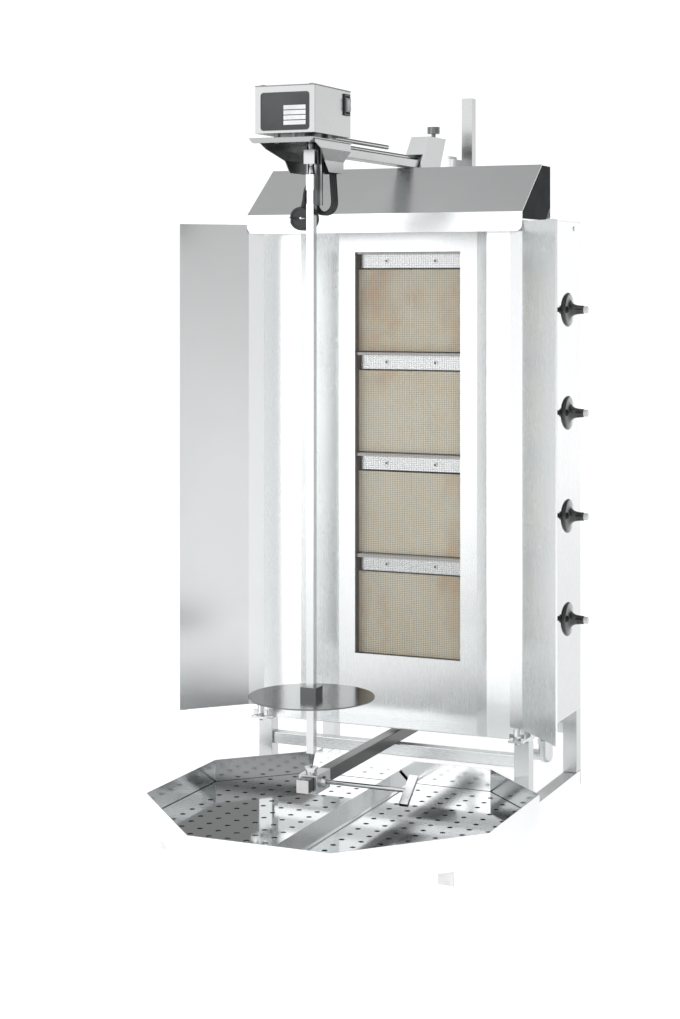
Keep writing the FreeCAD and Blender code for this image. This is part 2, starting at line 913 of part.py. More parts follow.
carriage_sizes = {
    "spit_ahead": 329,
    "spit_y": "=casing_front - spit_ahead",
    "carriage_side": 5,
    "carriage_floor": 5,
    "carriage_roof": 3.5,
    "carriage_before": 14,
    "carriage_behind": 38,
    "carriage_half": "=bar_half + carriage_side",
    "carriage_bottom": "=cross_top - carriage_floor",
    "carriage_top": "=bar_top + carriage_roof",
    "carriage_front": "=spit_y - carriage_before",
    "carriage_back": "=spit_y + carriage_behind",
    "cup_base": 8.5,
    "cup_rim": 10.5,
    "cup_height": 9.5,
    "cup_pocket": 5,
    "pocket_depth": 7,
    "clamp_behind": 10,
    "clamp_y": "=spit_y + clamp_behind",
    "clamp_z": "=cross_top + bar_half",
    "boss_radius": 9,
    "boss_length": 7,
    "boss_end": "=carriage_half + boss_length",
    "rod_radius": 3.5,
    "rod_gap": 0.2,
    "rod_length": 140.8,
    "rod_start": "=bar_half + rod_gap",
    "rod_end": "=rod_start + rod_length",
    "paddle_wide": 12,
    "paddle_right": "=rod_end + paddle_wide",
    "paddle_half": 27.5,
    "paddle_thick": 3,
    "paddle_angle": 37,
}
define(carriage_sizes)

node(
    "carriage",
    cut(
        fuse(
            box(
                "-carriage_half", "carriage_half", "carriage_front", "carriage_back",
                "carriage_bottom", "carriage_top",
            ),
            cylinder(
                "carriage_half - 1", "clamp_y", "clamp_z", "boss_radius", "boss_end - carriage_half + 1", "x"
            ),
        ),
        box(
            "-bar_half - shade", "bar_half + shade", "carriage_front - 1", "carriage_back + 1",
            "cross_top - shade", "bar_top + shade",
        ),
        cylinder("bar_half", "clamp_y", "clamp_z", "rod_radius + shade", "tube", "x"),
    ),
)
node(
    "bearing_cup",
    turned(
        [
            ("0", "0"),
            ("0", "cup_base"),
            ("cup_height - 2.5", "cup_base"),
            ("cup_height - 2.5", "cup_rim"),
            ("cup_height", "cup_rim"),
            ("cup_height", "cup_pocket"),
            ("cup_height - pocket_depth", "0"),
        ],
        "0", "spit_y", "carriage_top",
    ),
)


def paddle_corner(along, across):
    """A corner of the paddle, tilted about the screw's axis with its rear end up."""
    return (
        "clamp_y + (%s) * cos(paddle_angle) - (%s) * sin(paddle_angle)" % (along, across),
        "clamp_z + (%s) * sin(paddle_angle) + (%s) * cos(paddle_angle)" % (along, across),
    )


node(
    "clamp_screw",
    fuse(
        cylinder("rod_start", "clamp_y", "clamp_z", "rod_radius", "rod_end - rod_start", "x"),
        plate(
            "yz",
            [
                paddle_corner("-paddle_half", "-paddle_thick"),
                paddle_corner("paddle_half", "-paddle_thick"),
                paddle_corner("paddle_half", "paddle_thick"),
                paddle_corner("-paddle_half", "paddle_thick"),
            ],
            "rod_end - 2",
            "paddle_right - rod_end + 2",
        ),
    ),
)

# Spit and meat disc

spit_sizes = {
    "spit_half": 6,
    "tip_gap": 0.5,
    "tip_blunt": 7,
    "tip_taper": 21,
    "spit_tip": "=carriage_top + cup_height - pocket_depth + tip_gap",
    "tip_end": "=spit_tip + tip_blunt",
    "tip_end_radius": 2,
    "tip_start": "=tip_end + tip_taper",
    "arm_gap": 90.5,
    "arm_bottom": "=casing_top + arm_gap",
    "block_drop": 16.5,
    "block_bottom": "=arm_bottom - block_drop",
    "upper_gap": 16,
    "upper_length": 24,
    "reduced_length": 21,
    "neck_length": 15,
    "neck_start": "=block_bottom",
    "neck_end": "=neck_start + neck_length",
    "upper_end": "=neck_start - upper_gap",
    "reduced_end": "=upper_end - upper_length",
    "reduced_start": "=reduced_end - reduced_length",
    "reduced_half": 5,
    "upper_half": 6.35,
    "neck_half": 4,
    "disc_radius": 97,
    "disc_lift": 115,
    "disc_top": "=spit_tip + disc_lift",
    "disc_metal": 2,
    "hub_half": 13,
    "hub_height": 15,
    "hub_top": "=disc_top + hub_height",
    "collar_radius": 12,
    "collar_height": 13,
    "collar_bottom": "=disc_top - disc_metal - collar_height",
    "set_screw_radius": 2.5,
    "set_screw_length": 13,
    "set_screw_end": "=spit_half + set_screw_length",
}
define(spit_sizes)


def spit_block(half, low, high):
    return box("-" + half, half, "spit_y - " + half, "spit_y + " + half, low, high)


node(
    "spit",
    fuse(
        cone("0", "spit_y", "spit_tip", "0", "tip_end_radius", "tip_end - spit_tip"),
        cone("0", "spit_y", "tip_end", "tip_end_radius", "spit_half", "tip_start - tip_end"),
        spit_block("spit_half", "tip_start", "reduced_start"),
        spit_block("reduced_half", "reduced_start", "reduced_end"),
        spit_block("upper_half", "reduced_end", "upper_end"),
        cone("0", "spit_y", "upper_end", "upper_half", "neck_half", "neck_start - upper_end"),
        spit_block("neck_half", "neck_start", "neck_end"),
    ),
)
disc = cut(
    fuse(
        cylinder("0", "spit_y", "disc_top - disc_metal", "disc_radius", "disc_metal"),
        spit_block("hub_half", "disc_top", "hub_top"),
        cylinder("0", "spit_y", "collar_bottom", "collar_radius", "disc_top - disc_metal - collar_bottom"),
    ),
    spit_block("(spit_half + shade)", "collar_bottom - 1", "hub_top + 1"),
    cylinder("spit_half", "spit_y", "collar_bottom + 6", "set_screw_radius + shade", "tube", "x"),
)
node(
    "meat_disc",
    disc,
    cylinder(
        "spit_half + 0.2", "spit_y", "collar_bottom + 6", "set_screw_radius",
        "set_screw_end - spit_half", "x",
    ),
)

# Upper arm: column, sleeve, clamp bracket, thumb screw, bar and handle

arm_sizes = {
    "column_left": 20,
    "column_lap": 93,
    "column_rise": 227,
    "column_bottom": "=casing_top - column_lap",
    "column_top": "=casing_top + column_rise",
    "arm_half": 12.5,
    "arm_height": 14,
    "arm_setback": 8,
    "arm_inset": 0.5,
    "arm_top": "=arm_bottom + arm_height",
    "arm_rear": "=column_back - arm_inset",
    "arm_front": "=spit_y + carriage_behind + arm_setback",
    "sleeve_wall": 3,
    "sleeve_side": 3.5,
    "sleeve_height": 33,
    "sleeve_before": 119,
    "sleeve_behind": 12,
    "sleeve_half": "=arm_half + sleeve_side",
    "sleeve_bottom": "=arm_bottom - sleeve_side",
    "sleeve_top": "=sleeve_bottom + sleeve_height",
    "sleeve_inner_top": "=sleeve_top - sleeve_wall",
    "sleeve_front": "=rail_back - sleeve_before",
    "sleeve_rear": "=rail_back - sleeve_behind",
    "link_before": 47,
    "link_front": "=rail_back - link_before",
    "cheek_side": 2,
    "cheek_half": "=sleeve_half + cheek_side",
    "bracket_before": 78,
    "cheek_slant": 46,
    "cheek_reach": 14,
    "bracket_reach": 44,
    "bracket_rise": 28,
    "cheek_front": "=sleeve_front - bracket_before",
    "cheek_rear": "=sleeve_front + cheek_reach",
    "cheek_bottom": "=arm_bottom",
    "bracket_top": "=sleeve_top + bracket_rise",
    "bracket_front": "=cheek_front + cheek_slant",
    "bracket_rear": "=sleeve_front + bracket_reach",
    "slot_side": 1,
    "slot_above": 10.5,
    "slot_half": "=arm_half + slot_side",
    "slot_top": "=arm_top + slot_above",
    "thumb_inset": 30,
    "thumb_gap": 0.3,
    "thumb_lift": 9,
    "thumb_y": "=sleeve_front + thumb_inset",
    "thumb_tip": "=arm_top + thumb_gap",
    "thumb_head": "=bracket_top + thumb_lift",
    "thumb_radius": 11,
    "thumb_height": 12,
    "leg_inset": 43,
    "lower_leg": 344,
    "upper_leg": 218,
    "leg_start": "=arm_front + leg_inset",
    "leg_end": "=leg_start + lower_leg",
    "upper_leg_end": "=leg_start + upper_leg",
    "handle_radius": 3.75,
    "handle_bend": 5.5,
}
define(arm_sizes)

node(
    "column",
    fuse(
        square_tube(
            "column_left", "column_left + column_size",
            "column_back - column_size", "column_back", "column_bottom", "column_top", "z",
        ),
        box(
            "column_left", "column_left + column_size",
            "column_back - column_size", "column_back", "column_top - tube_wall", "column_top",
        ),
        box(
            "column_left", "column_left + column_size",
            "rail_back", "column_back - column_size", "column_bottom", "casing_top",
        ),
    ),
)
node(
    "arm_sleeve",
    cut(
        fuse(
            box(
                "-sleeve_half", "sleeve_half", "sleeve_front", "sleeve_rear", "sleeve_bottom", "sleeve_top"
            ),
            box(
                "sleeve_half - 1", "column_left", "link_front", "column_back",
                "sleeve_bottom + 5", "sleeve_top - 5",
            ),
        ),
        box(
            "-arm_half - shade", "arm_half + shade", "sleeve_front - 1", "column_back + 1",
            "arm_bottom - shade", "sleeve_inner_top",
        ),
        cylinder("0", "thumb_y", "sleeve_inner_top - 5", "handle_radius + shade", "tube"),
    ),
)
cheek = plate(
    "yz",
    [
        ("cheek_front", "cheek_bottom"),
        ("cheek_rear", "cheek_bottom"),
        ("bracket_rear", "bracket_top"),
        ("bracket_front", "bracket_top"),
    ],
    "sleeve_half + shade",
    "cheek_half - sleeve_half - shade",
)
slanted = plate(
    "yz",
    [
        ("cheek_front", "cheek_bottom"),
        ("cheek_front + cap", "cheek_bottom"),
        ("bracket_front + cap", "bracket_top"),
        ("bracket_front", "bracket_top"),
    ],
    "-cheek_half",
    "2 * cheek_half",
)
node(
    "clamp_bracket",
    cut(
        fuse(
            cheek,
            mirrored(cheek),
            slanted,
            box(
                "-cheek_half", "cheek_half", "bracket_front", "bracket_rear",
                "bracket_top - 2 * metal", "bracket_top",
            ),
        ),
        box(
            "-slot_half", "slot_half", "cheek_front - tube", "bracket_front",
            "cheek_bottom - tube", "slot_top",
        ),
        cylinder("0", "thumb_y", "sleeve_top", "handle_radius + shade", "2 * tube"),
    ),
)
node(
    "thumb_screw",
    fuse(
        cylinder("0", "thumb_y", "thumb_tip", "handle_radius", "thumb_head - thumb_tip"),
        cylinder("0", "thumb_y", "thumb_head", "thumb_radius", "thumb_height"),
    ),
)
node(
    "upper_arm_bar",
    square_tube("-arm_half", "arm_half", "arm_front", "arm_rear", "arm_bottom", "arm_top", "y"),
)
bend = doc.addObject("Part::Torus", "bend")
bend.Placement.Rotation = FreeCAD.Rotation(
    FreeCAD.Vector(0, 0, 1), FreeCAD.Vector(0, -1, 0), FreeCAD.Vector(1, 0, 0), "XYZ"
)
place(bend, "0", "leg_start", "arm_top + handle_radius + handle_bend")
bind(bend, "Radius1", "handle_bend")
bind(bend, "Radius2", "handle_radius")
bend.Angle3 = 180
node(
    "arm_handle",
    fuse(
        cylinder("0", "leg_start", "arm_top + handle_radius", "handle_radius", "leg_end - leg_start", "y"),
        bend,
        cylinder(
            "0", "leg_start", "arm_top + handle_radius + 2 * handle_bend", "handle_radius",
            "upper_leg_end - leg_start", "y",
        ),
    ),
)

# Motor head on the front end of the arm

head_sizes = {
    "head_half": 49,
    "head_depth": 134,
    "head_height": 70.5,
    "head_wall": 1.2,
    "plate_gap": 1.5,
    "plate_thick": 2.5,
    "head_lift": 6.5,
    "plate_side": 7,
    "plate_reach": 6,
    "head_back": "=spit_y + carriage_behind",
    "head_front": "=head_back - head_depth",
    "plate_low": "=arm_top + plate_gap",
    "plate_high": "=plate_low + plate_thick",
    "head_bottom": "=plate_high + head_lift",
    "head_top": "=head_bottom + head_height",
    "plate_left": "=-head_half - plate_side",
    "plate_front": "=head_front - plate_reach",
    "plate_lip": 8,
    "lip_chamfer": 6,
    "cheek_inset": 3,
    "fold_wide": 12,
    "fold_above": 12,
    "fold_height": 16,
    "cradle_drop": 30,
    "cheek_x": "=head_half - cheek_inset",
    "cheek_inner_x": "=cheek_x - fold_wide",
    "cheek_fold_high": "=plate_low - fold_above",
    "cheek_fold_low": "=cheek_fold_high - fold_height",
    "cradle_bottom": "=arm_bottom - cradle_drop",
    "cradle_inset": 7,
    "wedge_upper": 64,
    "wedge_lower": 17,
    "cradle_front": "=head_front + cradle_inset",
    "cradle_front_low": "=cradle_front + wedge_upper",
    "cradle_front_end": "=cradle_front_low + wedge_lower",
    "shaft_hole": 9,
    "bolt_left": 18,
    "bolt_right": 10,
    "bolt_inset_front": 12,
    "bolt_inset_back": 10,
    "bolt_x_left": "=-bolt_left",
    "bolt_x_right": "=bolt_right",
    "bolt_y_front": "=head_front + bolt_inset_front",
    "bolt_y_back": "=head_back - bolt_inset_back",
    "bolt_radius": 3,
    "bolt_across": 8,
    "nut_thick": 4,
    "lid_thick": 1.5,
    "lid_over": 0.8,
    "lid_screw_inset": 9,
    "rocker_inset": 17,
    "rocker_drop": 21,
    "rocker_y": "=head_back - rocker_inset",
    "rocker_z": "=head_top - rocker_drop",
    "frame_y": 11,
    "frame_z": 16.5,
}
define(head_sizes)

cradle_side = [
    ("cheek_x", "plate_low"),
    ("cheek_x", "cheek_fold_high"),
    ("cheek_inner_x", "cheek_fold_low"),
    ("cheek_inner_x", "cradle_bottom"),
]
cradle_cheek = bent_sheet("xz", cradle_side, "-metal", "cradle_front", "arm_front - metal - cradle_front")
front_wedge = plate(
    "yz",
    [
        ("cradle_front - tube", "cradle_bottom - tube"),
        ("cradle_front_end", "cradle_bottom - tube"),
        ("cradle_front_end", "cradle_bottom"),
        ("cradle_front_low", "cheek_fold_low"),
        ("cradle_front", "plate_low - nut_thick"),
        ("cradle_front - tube", "plate_low - nut_thick"),
    ],
    "-head_half",
    "2 * head_half",
)
back_wall = plate(
    "xz",
    cradle_side + [("-" + x, z) for x, z in reversed(cradle_side)],
    "arm_front - metal",
    "metal",
)
node(
    "motor_cradle",
    cut(fuse(cradle_cheek, mirrored(cradle_cheek), back_wall), front_wedge),
)
bolt_places = [(x, y) for x in ("bolt_x_left", "bolt_x_right") for y in ("bolt_y_front", "bolt_y_back")]
lip = plate(
    "xz",
    [
        ("plate_left + lip_chamfer", "plate_high - plate_lip"),
        ("head_half - lip_chamfer", "plate_high - plate_lip"),
        ("head_half", "plate_low"),
        ("head_half", "plate_high"),
        ("plate_left", "plate_high"),
        ("plate_left", "plate_low"),
    ],
    "plate_front",
    "cap",
)
node(
    "motor_plate",
    cut(
        fuse(box("plate_left", "head_half", "plate_front", "arm_front", "plate_low", "plate_high"), lip),
        cylinder("0", "spit_y", "plate_low - 1", "shaft_hole", "tube"),
        *[
            cylinder(x, y, "plate_low - 1", "bolt_radius + shade", "tube")
            for x, y in bolt_places
        ],
    ),
)
node(
    "motor_box",
    cut(
        box("-head_half", "head_half", "head_front", "head_back", "head_bottom", "head_top"),
        box(
            "-head_half + head_wall", "head_half - head_wall",
            "head_front + head_wall", "head_back - head_wall",
            "head_bottom + head_wall", "head_top + 1",
        ),
        cylinder("0", "spit_y", "head_bottom - 1", "shaft_hole", "tube"),
        box(
            "head_half - tube / 2", "head_half + 1",
            "rocker_y - frame_y + cap - shade", "rocker_y + frame_y - cap + shade",
            "rocker_z - frame_z + cap - shade", "rocker_z + frame_z - cap + shade",
        ),
    ),
)
node(
    "motor_lid",
    box(
        "-head_half - lid_over", "head_half + lid_over", "head_front - lid_over", "head_back + lid_over",
        "head_top", "head_top + lid_thick",
    ),
)
head_screws = []
for x, y in bolt_places:
    head_screws.append(
        fuse(
            cylinder(
                x, y, "plate_low - nut_thick - cap", "bolt_radius",
                "head_bottom - plate_low + nut_thick + cap",
            ),
            hexagon(x, y, "plate_low - nut_thick", "bolt_across", "nut_thick"),
            cylinder(x, y, "plate_high", "bolt_radius + cap", "head_bottom - plate_high"),
        )
    )
for side_sign in ("", "-"):
    for end in ("head_front + lid_screw_inset", "head_back - lid_screw_inset"):
        head_screws.append(
            cylinder(
                "%s(head_half - lid_screw_inset)" % side_sign, end, "head_top + lid_thick",
                "screw_radius", "metal",
            )
        )
node("head_screws", *head_screws)

gear_sizes = {
    "gear_side": 17,
    "gear_before": 14,
    "gear_behind": 6,
    "gear_drop": 11.3,
    "gear_half": "=head_half - gear_side",
    "gear_front": "=head_front + gear_before",
    "gear_back": "=head_back - gear_behind",
    "gear_height": "=head_height - head_wall - gear_drop",
    "shaft_radius": 5,
    "shaft_lift": 22,
    "shaft_top": "=head_bottom + shaft_lift",
    "block_half": 9,
    "block_height": 21.5,
    "block_top": "=block_bottom + block_height",
    "socket_gap": 0.3,
    "socket_roof": 2,
    "socket_half": "=neck_half + socket_gap",
    "socket_top": "=neck_end + socket_roof",
    "hub_radius": 7,
    "hub_above": 1.5,
    "hub_end": "=plate_high + hub_above",
    "hub_screw_radius": 2,
    "hub_screw_drop": 8,
    "hub_screw_z": "=hub_end - hub_screw_drop",
}
define(gear_sizes)
node(
    "gear_motor",
    cut(
        box(
            "-gear_half", "gear_half", "gear_front", "gear_back",
            "head_bottom + head_wall", "head_bottom + head_wall + gear_height",
        ),
        cylinder("0", "spit_y", "head_bottom", "shaft_radius + shade", "shaft_top + 1 - head_bottom"),
    ),
)
node(
    "coupling",
    cut(
        fuse(
            spit_block("block_half", "block_bottom", "block_top"),
            cylinder("0", "spit_y", "block_top", "hub_radius", "hub_end - block_top"),
            cylinder("0", "spit_y", "hub_end", "shaft_radius", "shaft_top - hub_end"),
            cylinder("0", "spit_y - hub_radius - 1", "hub_screw_z", "hub_screw_radius", "hub_radius", "y"),
        ),
        spit_block("socket_half", "block_bottom - 1", "socket_top"),
    ),
)

channel_sizes = {
    "channel_half": 12.5,
    "channel_behind": 10,
    "channel_depth": 5,
    "channel_length": 95,
    "channel_front": "=spit_y + channel_behind",
    "channel_back": "=channel_front + channel_depth",
    "channel_bottom": "=plate_low - channel_length",
    "label_side": 9,
    "label_lift": 4,
    "label_height": 57,
    "label_half": "=head_half - label_side",
    "label_bottom": "=head_bottom + label_lift",
    "label_top": "=label_bottom + label_height",
    "label_thick": 0.5,
    "frame_out": 2.5,
    "frame_depth": 9,
    "rocker_half_y": 7,
    "rocker_half_z": 11,
    "rocker_gap": 0.6,
    "rocker_depth": 5,
    "rocker_out": 6,
    "rocker_round": 4.5,
    "pivot_radius": 1.2,
    "pivot_depth": 3,
    "pivot_reach": 1.2,
}
define(channel_sizes)
node(
    "spit_guide_channel",
    bent_sheet(
        "xy",
        [
            ("-channel_half", "channel_front"),
            ("-channel_half", "channel_back"),
            ("channel_half", "channel_back"),
            ("channel_half", "channel_front"),
        ],
        "metal",
        "channel_bottom",
        "plate_low - channel_bottom",
    ),
)
node(
    "rating_plate",
    box(
        "-label_half", "label_half", "head_front - label_thick", "head_front", "label_bottom", "label_top"
    ),
)
node(
    "rocker_frame",
    cut(
        fuse(
            box(
                "head_half", "head_half + frame_out", "rocker_y - frame_y", "rocker_y + frame_y",
                "rocker_z - frame_z", "rocker_z + frame_z",
            ),
            box(
                "head_half - frame_depth", "head_half + 1",
                "rocker_y - frame_y + cap", "rocker_y + frame_y - cap",
                "rocker_z - frame_z + cap", "rocker_z + frame_z - cap",
            ),
        ),
        box(
            "head_half - frame_depth + cap", "head_half + tube",
            "rocker_y - rocker_half_y - rocker_gap", "rocker_y + rocker_half_y + rocker_gap",
            "rocker_z - rocker_half_z - 3 * rocker_gap", "rocker_z + rocker_half_z + 3 * rocker_gap",
        ),
        cylinder(
            "head_half - pivot_depth", "rocker_y - frame_y", "rocker_z",
            "pivot_radius + shade", "2 * frame_y", "y",
        ),
    ),
)
rocker_profile = [
    ("head_half - rocker_depth", "rocker_z - rocker_half_z"),
    ("head_half + frame_out", "rocker_z - rocker_half_z"),
    ("head_half + rocker_out", "rocker_z - rocker_half_z + rocker_round"),
    ("head_half + rocker_out", "rocker_z + rocker_half_z - rocker_round"),
    ("head_half + frame_out", "rocker_z + rocker_half_z"),
    ("head_half - rocker_depth", "rocker_z + rocker_half_z"),
]
node(
    "rocker",
    fuse(
        plate("xz", rocker_profile, "rocker_y - rocker_half_y", "2 * rocker_half_y"),
        cylinder(
            "head_half - pivot_depth", "rocker_y - rocker_half_y - pivot_reach", "rocker_z",
            "pivot_radius", "2 * (rocker_half_y + pivot_reach)", "y",
        ),
    ),
)

# Power cord: three hanging loops under the cradle, wide at the foot, then one strand to the plug

cord_sizes = {
    "cord_radius": 3,
    "loop_radius": 16,
    "top_radius": 8,
    "loop_x": 10.5,
    "loop_behind": 20.5,
    "loop_y": "=spit_y + loop_behind",
    "loop_step": 6.7,
    "gland_length": 15,
    "gland_bottom": "=plate_low - gland_length",
    "gland_radius": 5,
    "hank_drop": 5,
    "hank_length": 71,
    "loop_high": "=gland_bottom - hank_drop",
    "loop_low": "=loop_high - hank_length",
    "plug_side": 40.5,
    "plug_drop": 23,
    "plug_x": "=loop_x - plug_side",
    "plug_z": "=loop_low - plug_drop",
    "plug_radius": 18.5,
    "plug_half": 18,
    "relief_height": 33,
    "relief_top": "=plug_z + relief_height",
    "relief_radius": 5,
    "pin_reach": 19,
    "pin_radius": 2.4,
    "pin_side": 9.5,
}
define(cord_sizes)

loops = 3
radius = number_of("cord_radius")
low_radius = number_of("loop_radius")
high_radius = number_of("top_radius")
middle_x = number_of("loop_x")
first_y = number_of("plane_y + loop_y")
step_y = number_of("loop_step")
low_z = number_of("loop_low")
high_z = number_of("loop_high")
lean = math.asin((low_radius - high_radius) / (high_z - low_z))
upright = FreeCAD.Vector(0, 0, 1)
right_run = FreeCAD.Vector(-math.sin(lean), 0, math.cos(lean))


def on_turn(turn_radius, y, z, angle):
    """A point of the lower or the upper turn, by its angle from +X."""
    return FreeCAD.Vector(
        middle_x + turn_radius * math.cos(angle), y, z + turn_radius * math.sin(angle)
    )


def turn_between(turn_radius, y, z, first, last):
    """The arc of a turn between two angles."""
    angles = (first, (first + last) / 2, last)
    return Part.Arc(*[on_turn(turn_radius, y, z, angle) for angle in angles]).toShape()


def sway(start, end, along):
    """Two equal arcs that leave and arrive in one direction and shift the cord sideways on the way."""
    rise = (end - start).dot(along)
    shift = end - start - along * rise
    arc_radius = (rise * rise + shift.Length ** 2) / (4 * shift.Length)
    angle = math.asin(rise / 2 / arc_radius)
    side = FreeCAD.Vector(shift).normalize() * (arc_radius * (1 - math.cos(angle / 2)))
    forward = along * (arc_radius * math.sin(angle / 2))
    centre = (start + end) / 2
    first = Part.Arc(start, start + side + forward, centre).toShape()
    last = Part.Arc(centre, end - side - forward, end).toShape()
    return [first, last], arc_radius


def tube(edges, section):
    """A round tube along edges that run on from one another."""
    path = Part.Wire(edges)
    start = path.OrderedVertexes[0].Point
    ring = Part.Wire(Part.makeCircle(section, start, upright))
    shape = path.makePipeShell([ring], True, False)
    print("tube", round(shape.Volume / (math.pi * section ** 2 * path.Length), 4), round(path.Length, 1))
    return shape


left_side = math.pi
gland_end = on_turn(low_radius, first_y, number_of("gland_bottom"), left_side)
start = on_turn(low_radius, first_y, low_z, left_side)
hank_edges = [Part.makeLine(gland_end, start)]
enter = left_side
for number in range(loops):
    y = first_y + number * step_y
    last_loop = number == loops - 1
    leave = left_side if last_loop else left_side - lean
    hank_edges.append(turn_between(low_radius, y, low_z, enter, 2 * left_side + lean))
    climb, climb_radius = sway(
        on_turn(low_radius, y, low_z, lean), on_turn(high_radius, y + step_y, high_z, lean), right_run
    )
    hank_edges += climb
    hank_edges.append(turn_between(high_radius, y + step_y, high_z, lean, leave))
    if not last_loop:
        left_top = on_turn(high_radius, y + step_y, high_z, leave)
        left_bottom = on_turn(low_radius, y + step_y, low_z, leave)
        hank_edges.append(Part.makeLine(left_top, left_bottom))
    enter = left_side - lean
last_y = first_y + loops * step_y
tail_edges, tail_radius = sway(
    on_turn(high_radius, last_y, high_z, left_side),
    FreeCAD.Vector(number_of("plug_x"), last_y, number_of("relief_top")),
    -upright,
)
print("cord radii", low_radius, high_radius, round(climb_radius, 1), round(tail_radius, 1))
for name, edges in (("cord_hank", hank_edges), ("cord_tail", tail_edges)):
    cord = doc.addObject("Part::Feature", name)
    cord.Shape = tube(edges, radius)
    node(name, cord)

# The least gap of the loops to themselves, on points apart along the cord
spots = []
for number, edge in enumerate(hank_edges + tail_edges):
    spots += [(number, point) for point in edge.discretize(40)]
least = min(
    a.distanceToPoint(b) for i, a in spots for j, b in spots if j > i + 1
)
print("least gap in the hank", round(least - 2 * radius, 2))

cord_last_y = "loop_y + %d * loop_step" % loops
node(
    "cord_gland",
    cylinder("loop_x - loop_radius", "loop_y", "gland_bottom", "gland_radius", "plate_low - gland_bottom"),
)
node(
    "plug",
    fuse(
        cut(
            cylinder(
                "plug_x", cord_last_y + " - plug_half", "plug_z", "plug_radius", "2 * plug_half", "y"
            ),
            box(
                "plug_x - plug_radius - 1", "plug_x - plug_radius + cap",
                cord_last_y + " - plug_half - 1", cord_last_y, "plug_z - cap", "plug_z + cap",
            ),
            box(
                "plug_x + plug_radius - cap", "plug_x + plug_radius + 1",
                cord_last_y + " - plug_half - 1", cord_last_y, "plug_z - cap", "plug_z + cap",
            ),
        ),
        cone(
            "plug_x", cord_last_y, "plug_z + plug_radius - 2", "relief_radius + 2", "relief_radius - 1",
            "relief_top - plug_z - plug_radius + 2",
        ),
        cylinder(
            "plug_x - pin_side", cord_last_y + " - plug_half - pin_reach", "plug_z",
            "pin_radius", "pin_reach + 1", "y",
        ),
        cylinder(
            "plug_x + pin_side", cord_last_y + " - plug_half - pin_reach", "plug_z",
            "pin_radius", "pin_reach + 1", "y",
        ),
    ),
)

# Checks and files

doc.recompute()
for item in doc.Objects:
    if "Invalid" in item.State or "Error" in item.State:
        raise RuntimeError("%s failed: %s" % (item.Label, item.State))
os.makedirs("parts", exist_ok=True)
for name, item in nodes.items():
    if item.Shape.isNull() or not item.Shape.isValid() or not item.Shape.Solids:
        raise RuntimeError("%s has no valid shape" % name)
    item.Shape.exportStep("parts/%s.step" % name)
    print(name, len(item.Shape.Solids), round(item.Shape.Volume / 1000, 2))
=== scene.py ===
import math

import bmesh
import bpy
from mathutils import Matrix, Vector


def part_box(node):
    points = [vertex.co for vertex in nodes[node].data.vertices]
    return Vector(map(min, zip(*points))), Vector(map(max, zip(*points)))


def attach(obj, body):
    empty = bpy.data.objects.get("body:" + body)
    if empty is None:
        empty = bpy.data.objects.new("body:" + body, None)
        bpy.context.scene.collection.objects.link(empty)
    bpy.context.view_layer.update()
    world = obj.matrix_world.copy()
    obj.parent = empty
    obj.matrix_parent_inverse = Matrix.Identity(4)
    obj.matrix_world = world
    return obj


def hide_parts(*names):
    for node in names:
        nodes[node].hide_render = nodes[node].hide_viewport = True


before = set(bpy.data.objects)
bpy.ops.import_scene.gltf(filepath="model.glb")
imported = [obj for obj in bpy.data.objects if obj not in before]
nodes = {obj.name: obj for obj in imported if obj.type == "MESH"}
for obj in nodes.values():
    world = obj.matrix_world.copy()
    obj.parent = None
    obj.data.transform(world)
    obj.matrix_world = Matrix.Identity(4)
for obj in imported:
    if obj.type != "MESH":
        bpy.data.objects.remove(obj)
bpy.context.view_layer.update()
mm = 0.001
near = 0.1 * mm  # places closer than this count as the same
burners = 4
burnerPitch = 175 * mm

# Camera: the photograph's view, worked out from the edges of the casing

camera = {
    "azimuth": math.radians(23.5),
    "place": (1.246, -2.97975, 0.882),
    "filmHeight": 36,
    "lens": 69.8,
    "shift": -0.2203,
}


def placeCamera():
    data = bpy.data.cameras.new("camera")
    data.sensor_fit = "VERTICAL"
    data.sensor_height = camera["filmHeight"]
    data.lens = camera["lens"]
    data.shift_y = camera["shift"]
    item = bpy.data.objects.new("camera", data)
    item.location = camera["place"]
    item.rotation_euler = (math.pi / 2, 0, camera["azimuth"])
    bpy.context.collection.objects.link(item)
    bpy.context.scene.camera = item


placeCamera()
print("camera placed")

# Shader maths: a Wire is one output socket, and sums on Wires add Math nodes


class Wire:
    def __init__(self, paint, socket):
        self.paint = paint
        self.socket = socket

    def maths(self, operation, first, second):
        return self.paint.node("ShaderNodeMath", {"operation": operation}, {0: first, 1: second})

    def __add__(self, other):
        return self.maths("ADD", self, other)

    def __sub__(self, other):
        return self.maths("SUBTRACT", self, other)

    def __rsub__(self, other):
        return self.maths("SUBTRACT", other, self)

    def __mul__(self, other):
        return self.maths("MULTIPLY", self, other)

    __radd__ = __add__
    __rmul__ = __mul__


def fillRamp(band, stops):
    while len(band.elements) < len(stops):
        band.elements.new(0.5)
    for element, (place, colour) in zip(band.elements, stops):
        element.position = place
        element.color = tint(colour)


# A Paint is one material: its node method adds any node, with its settings first


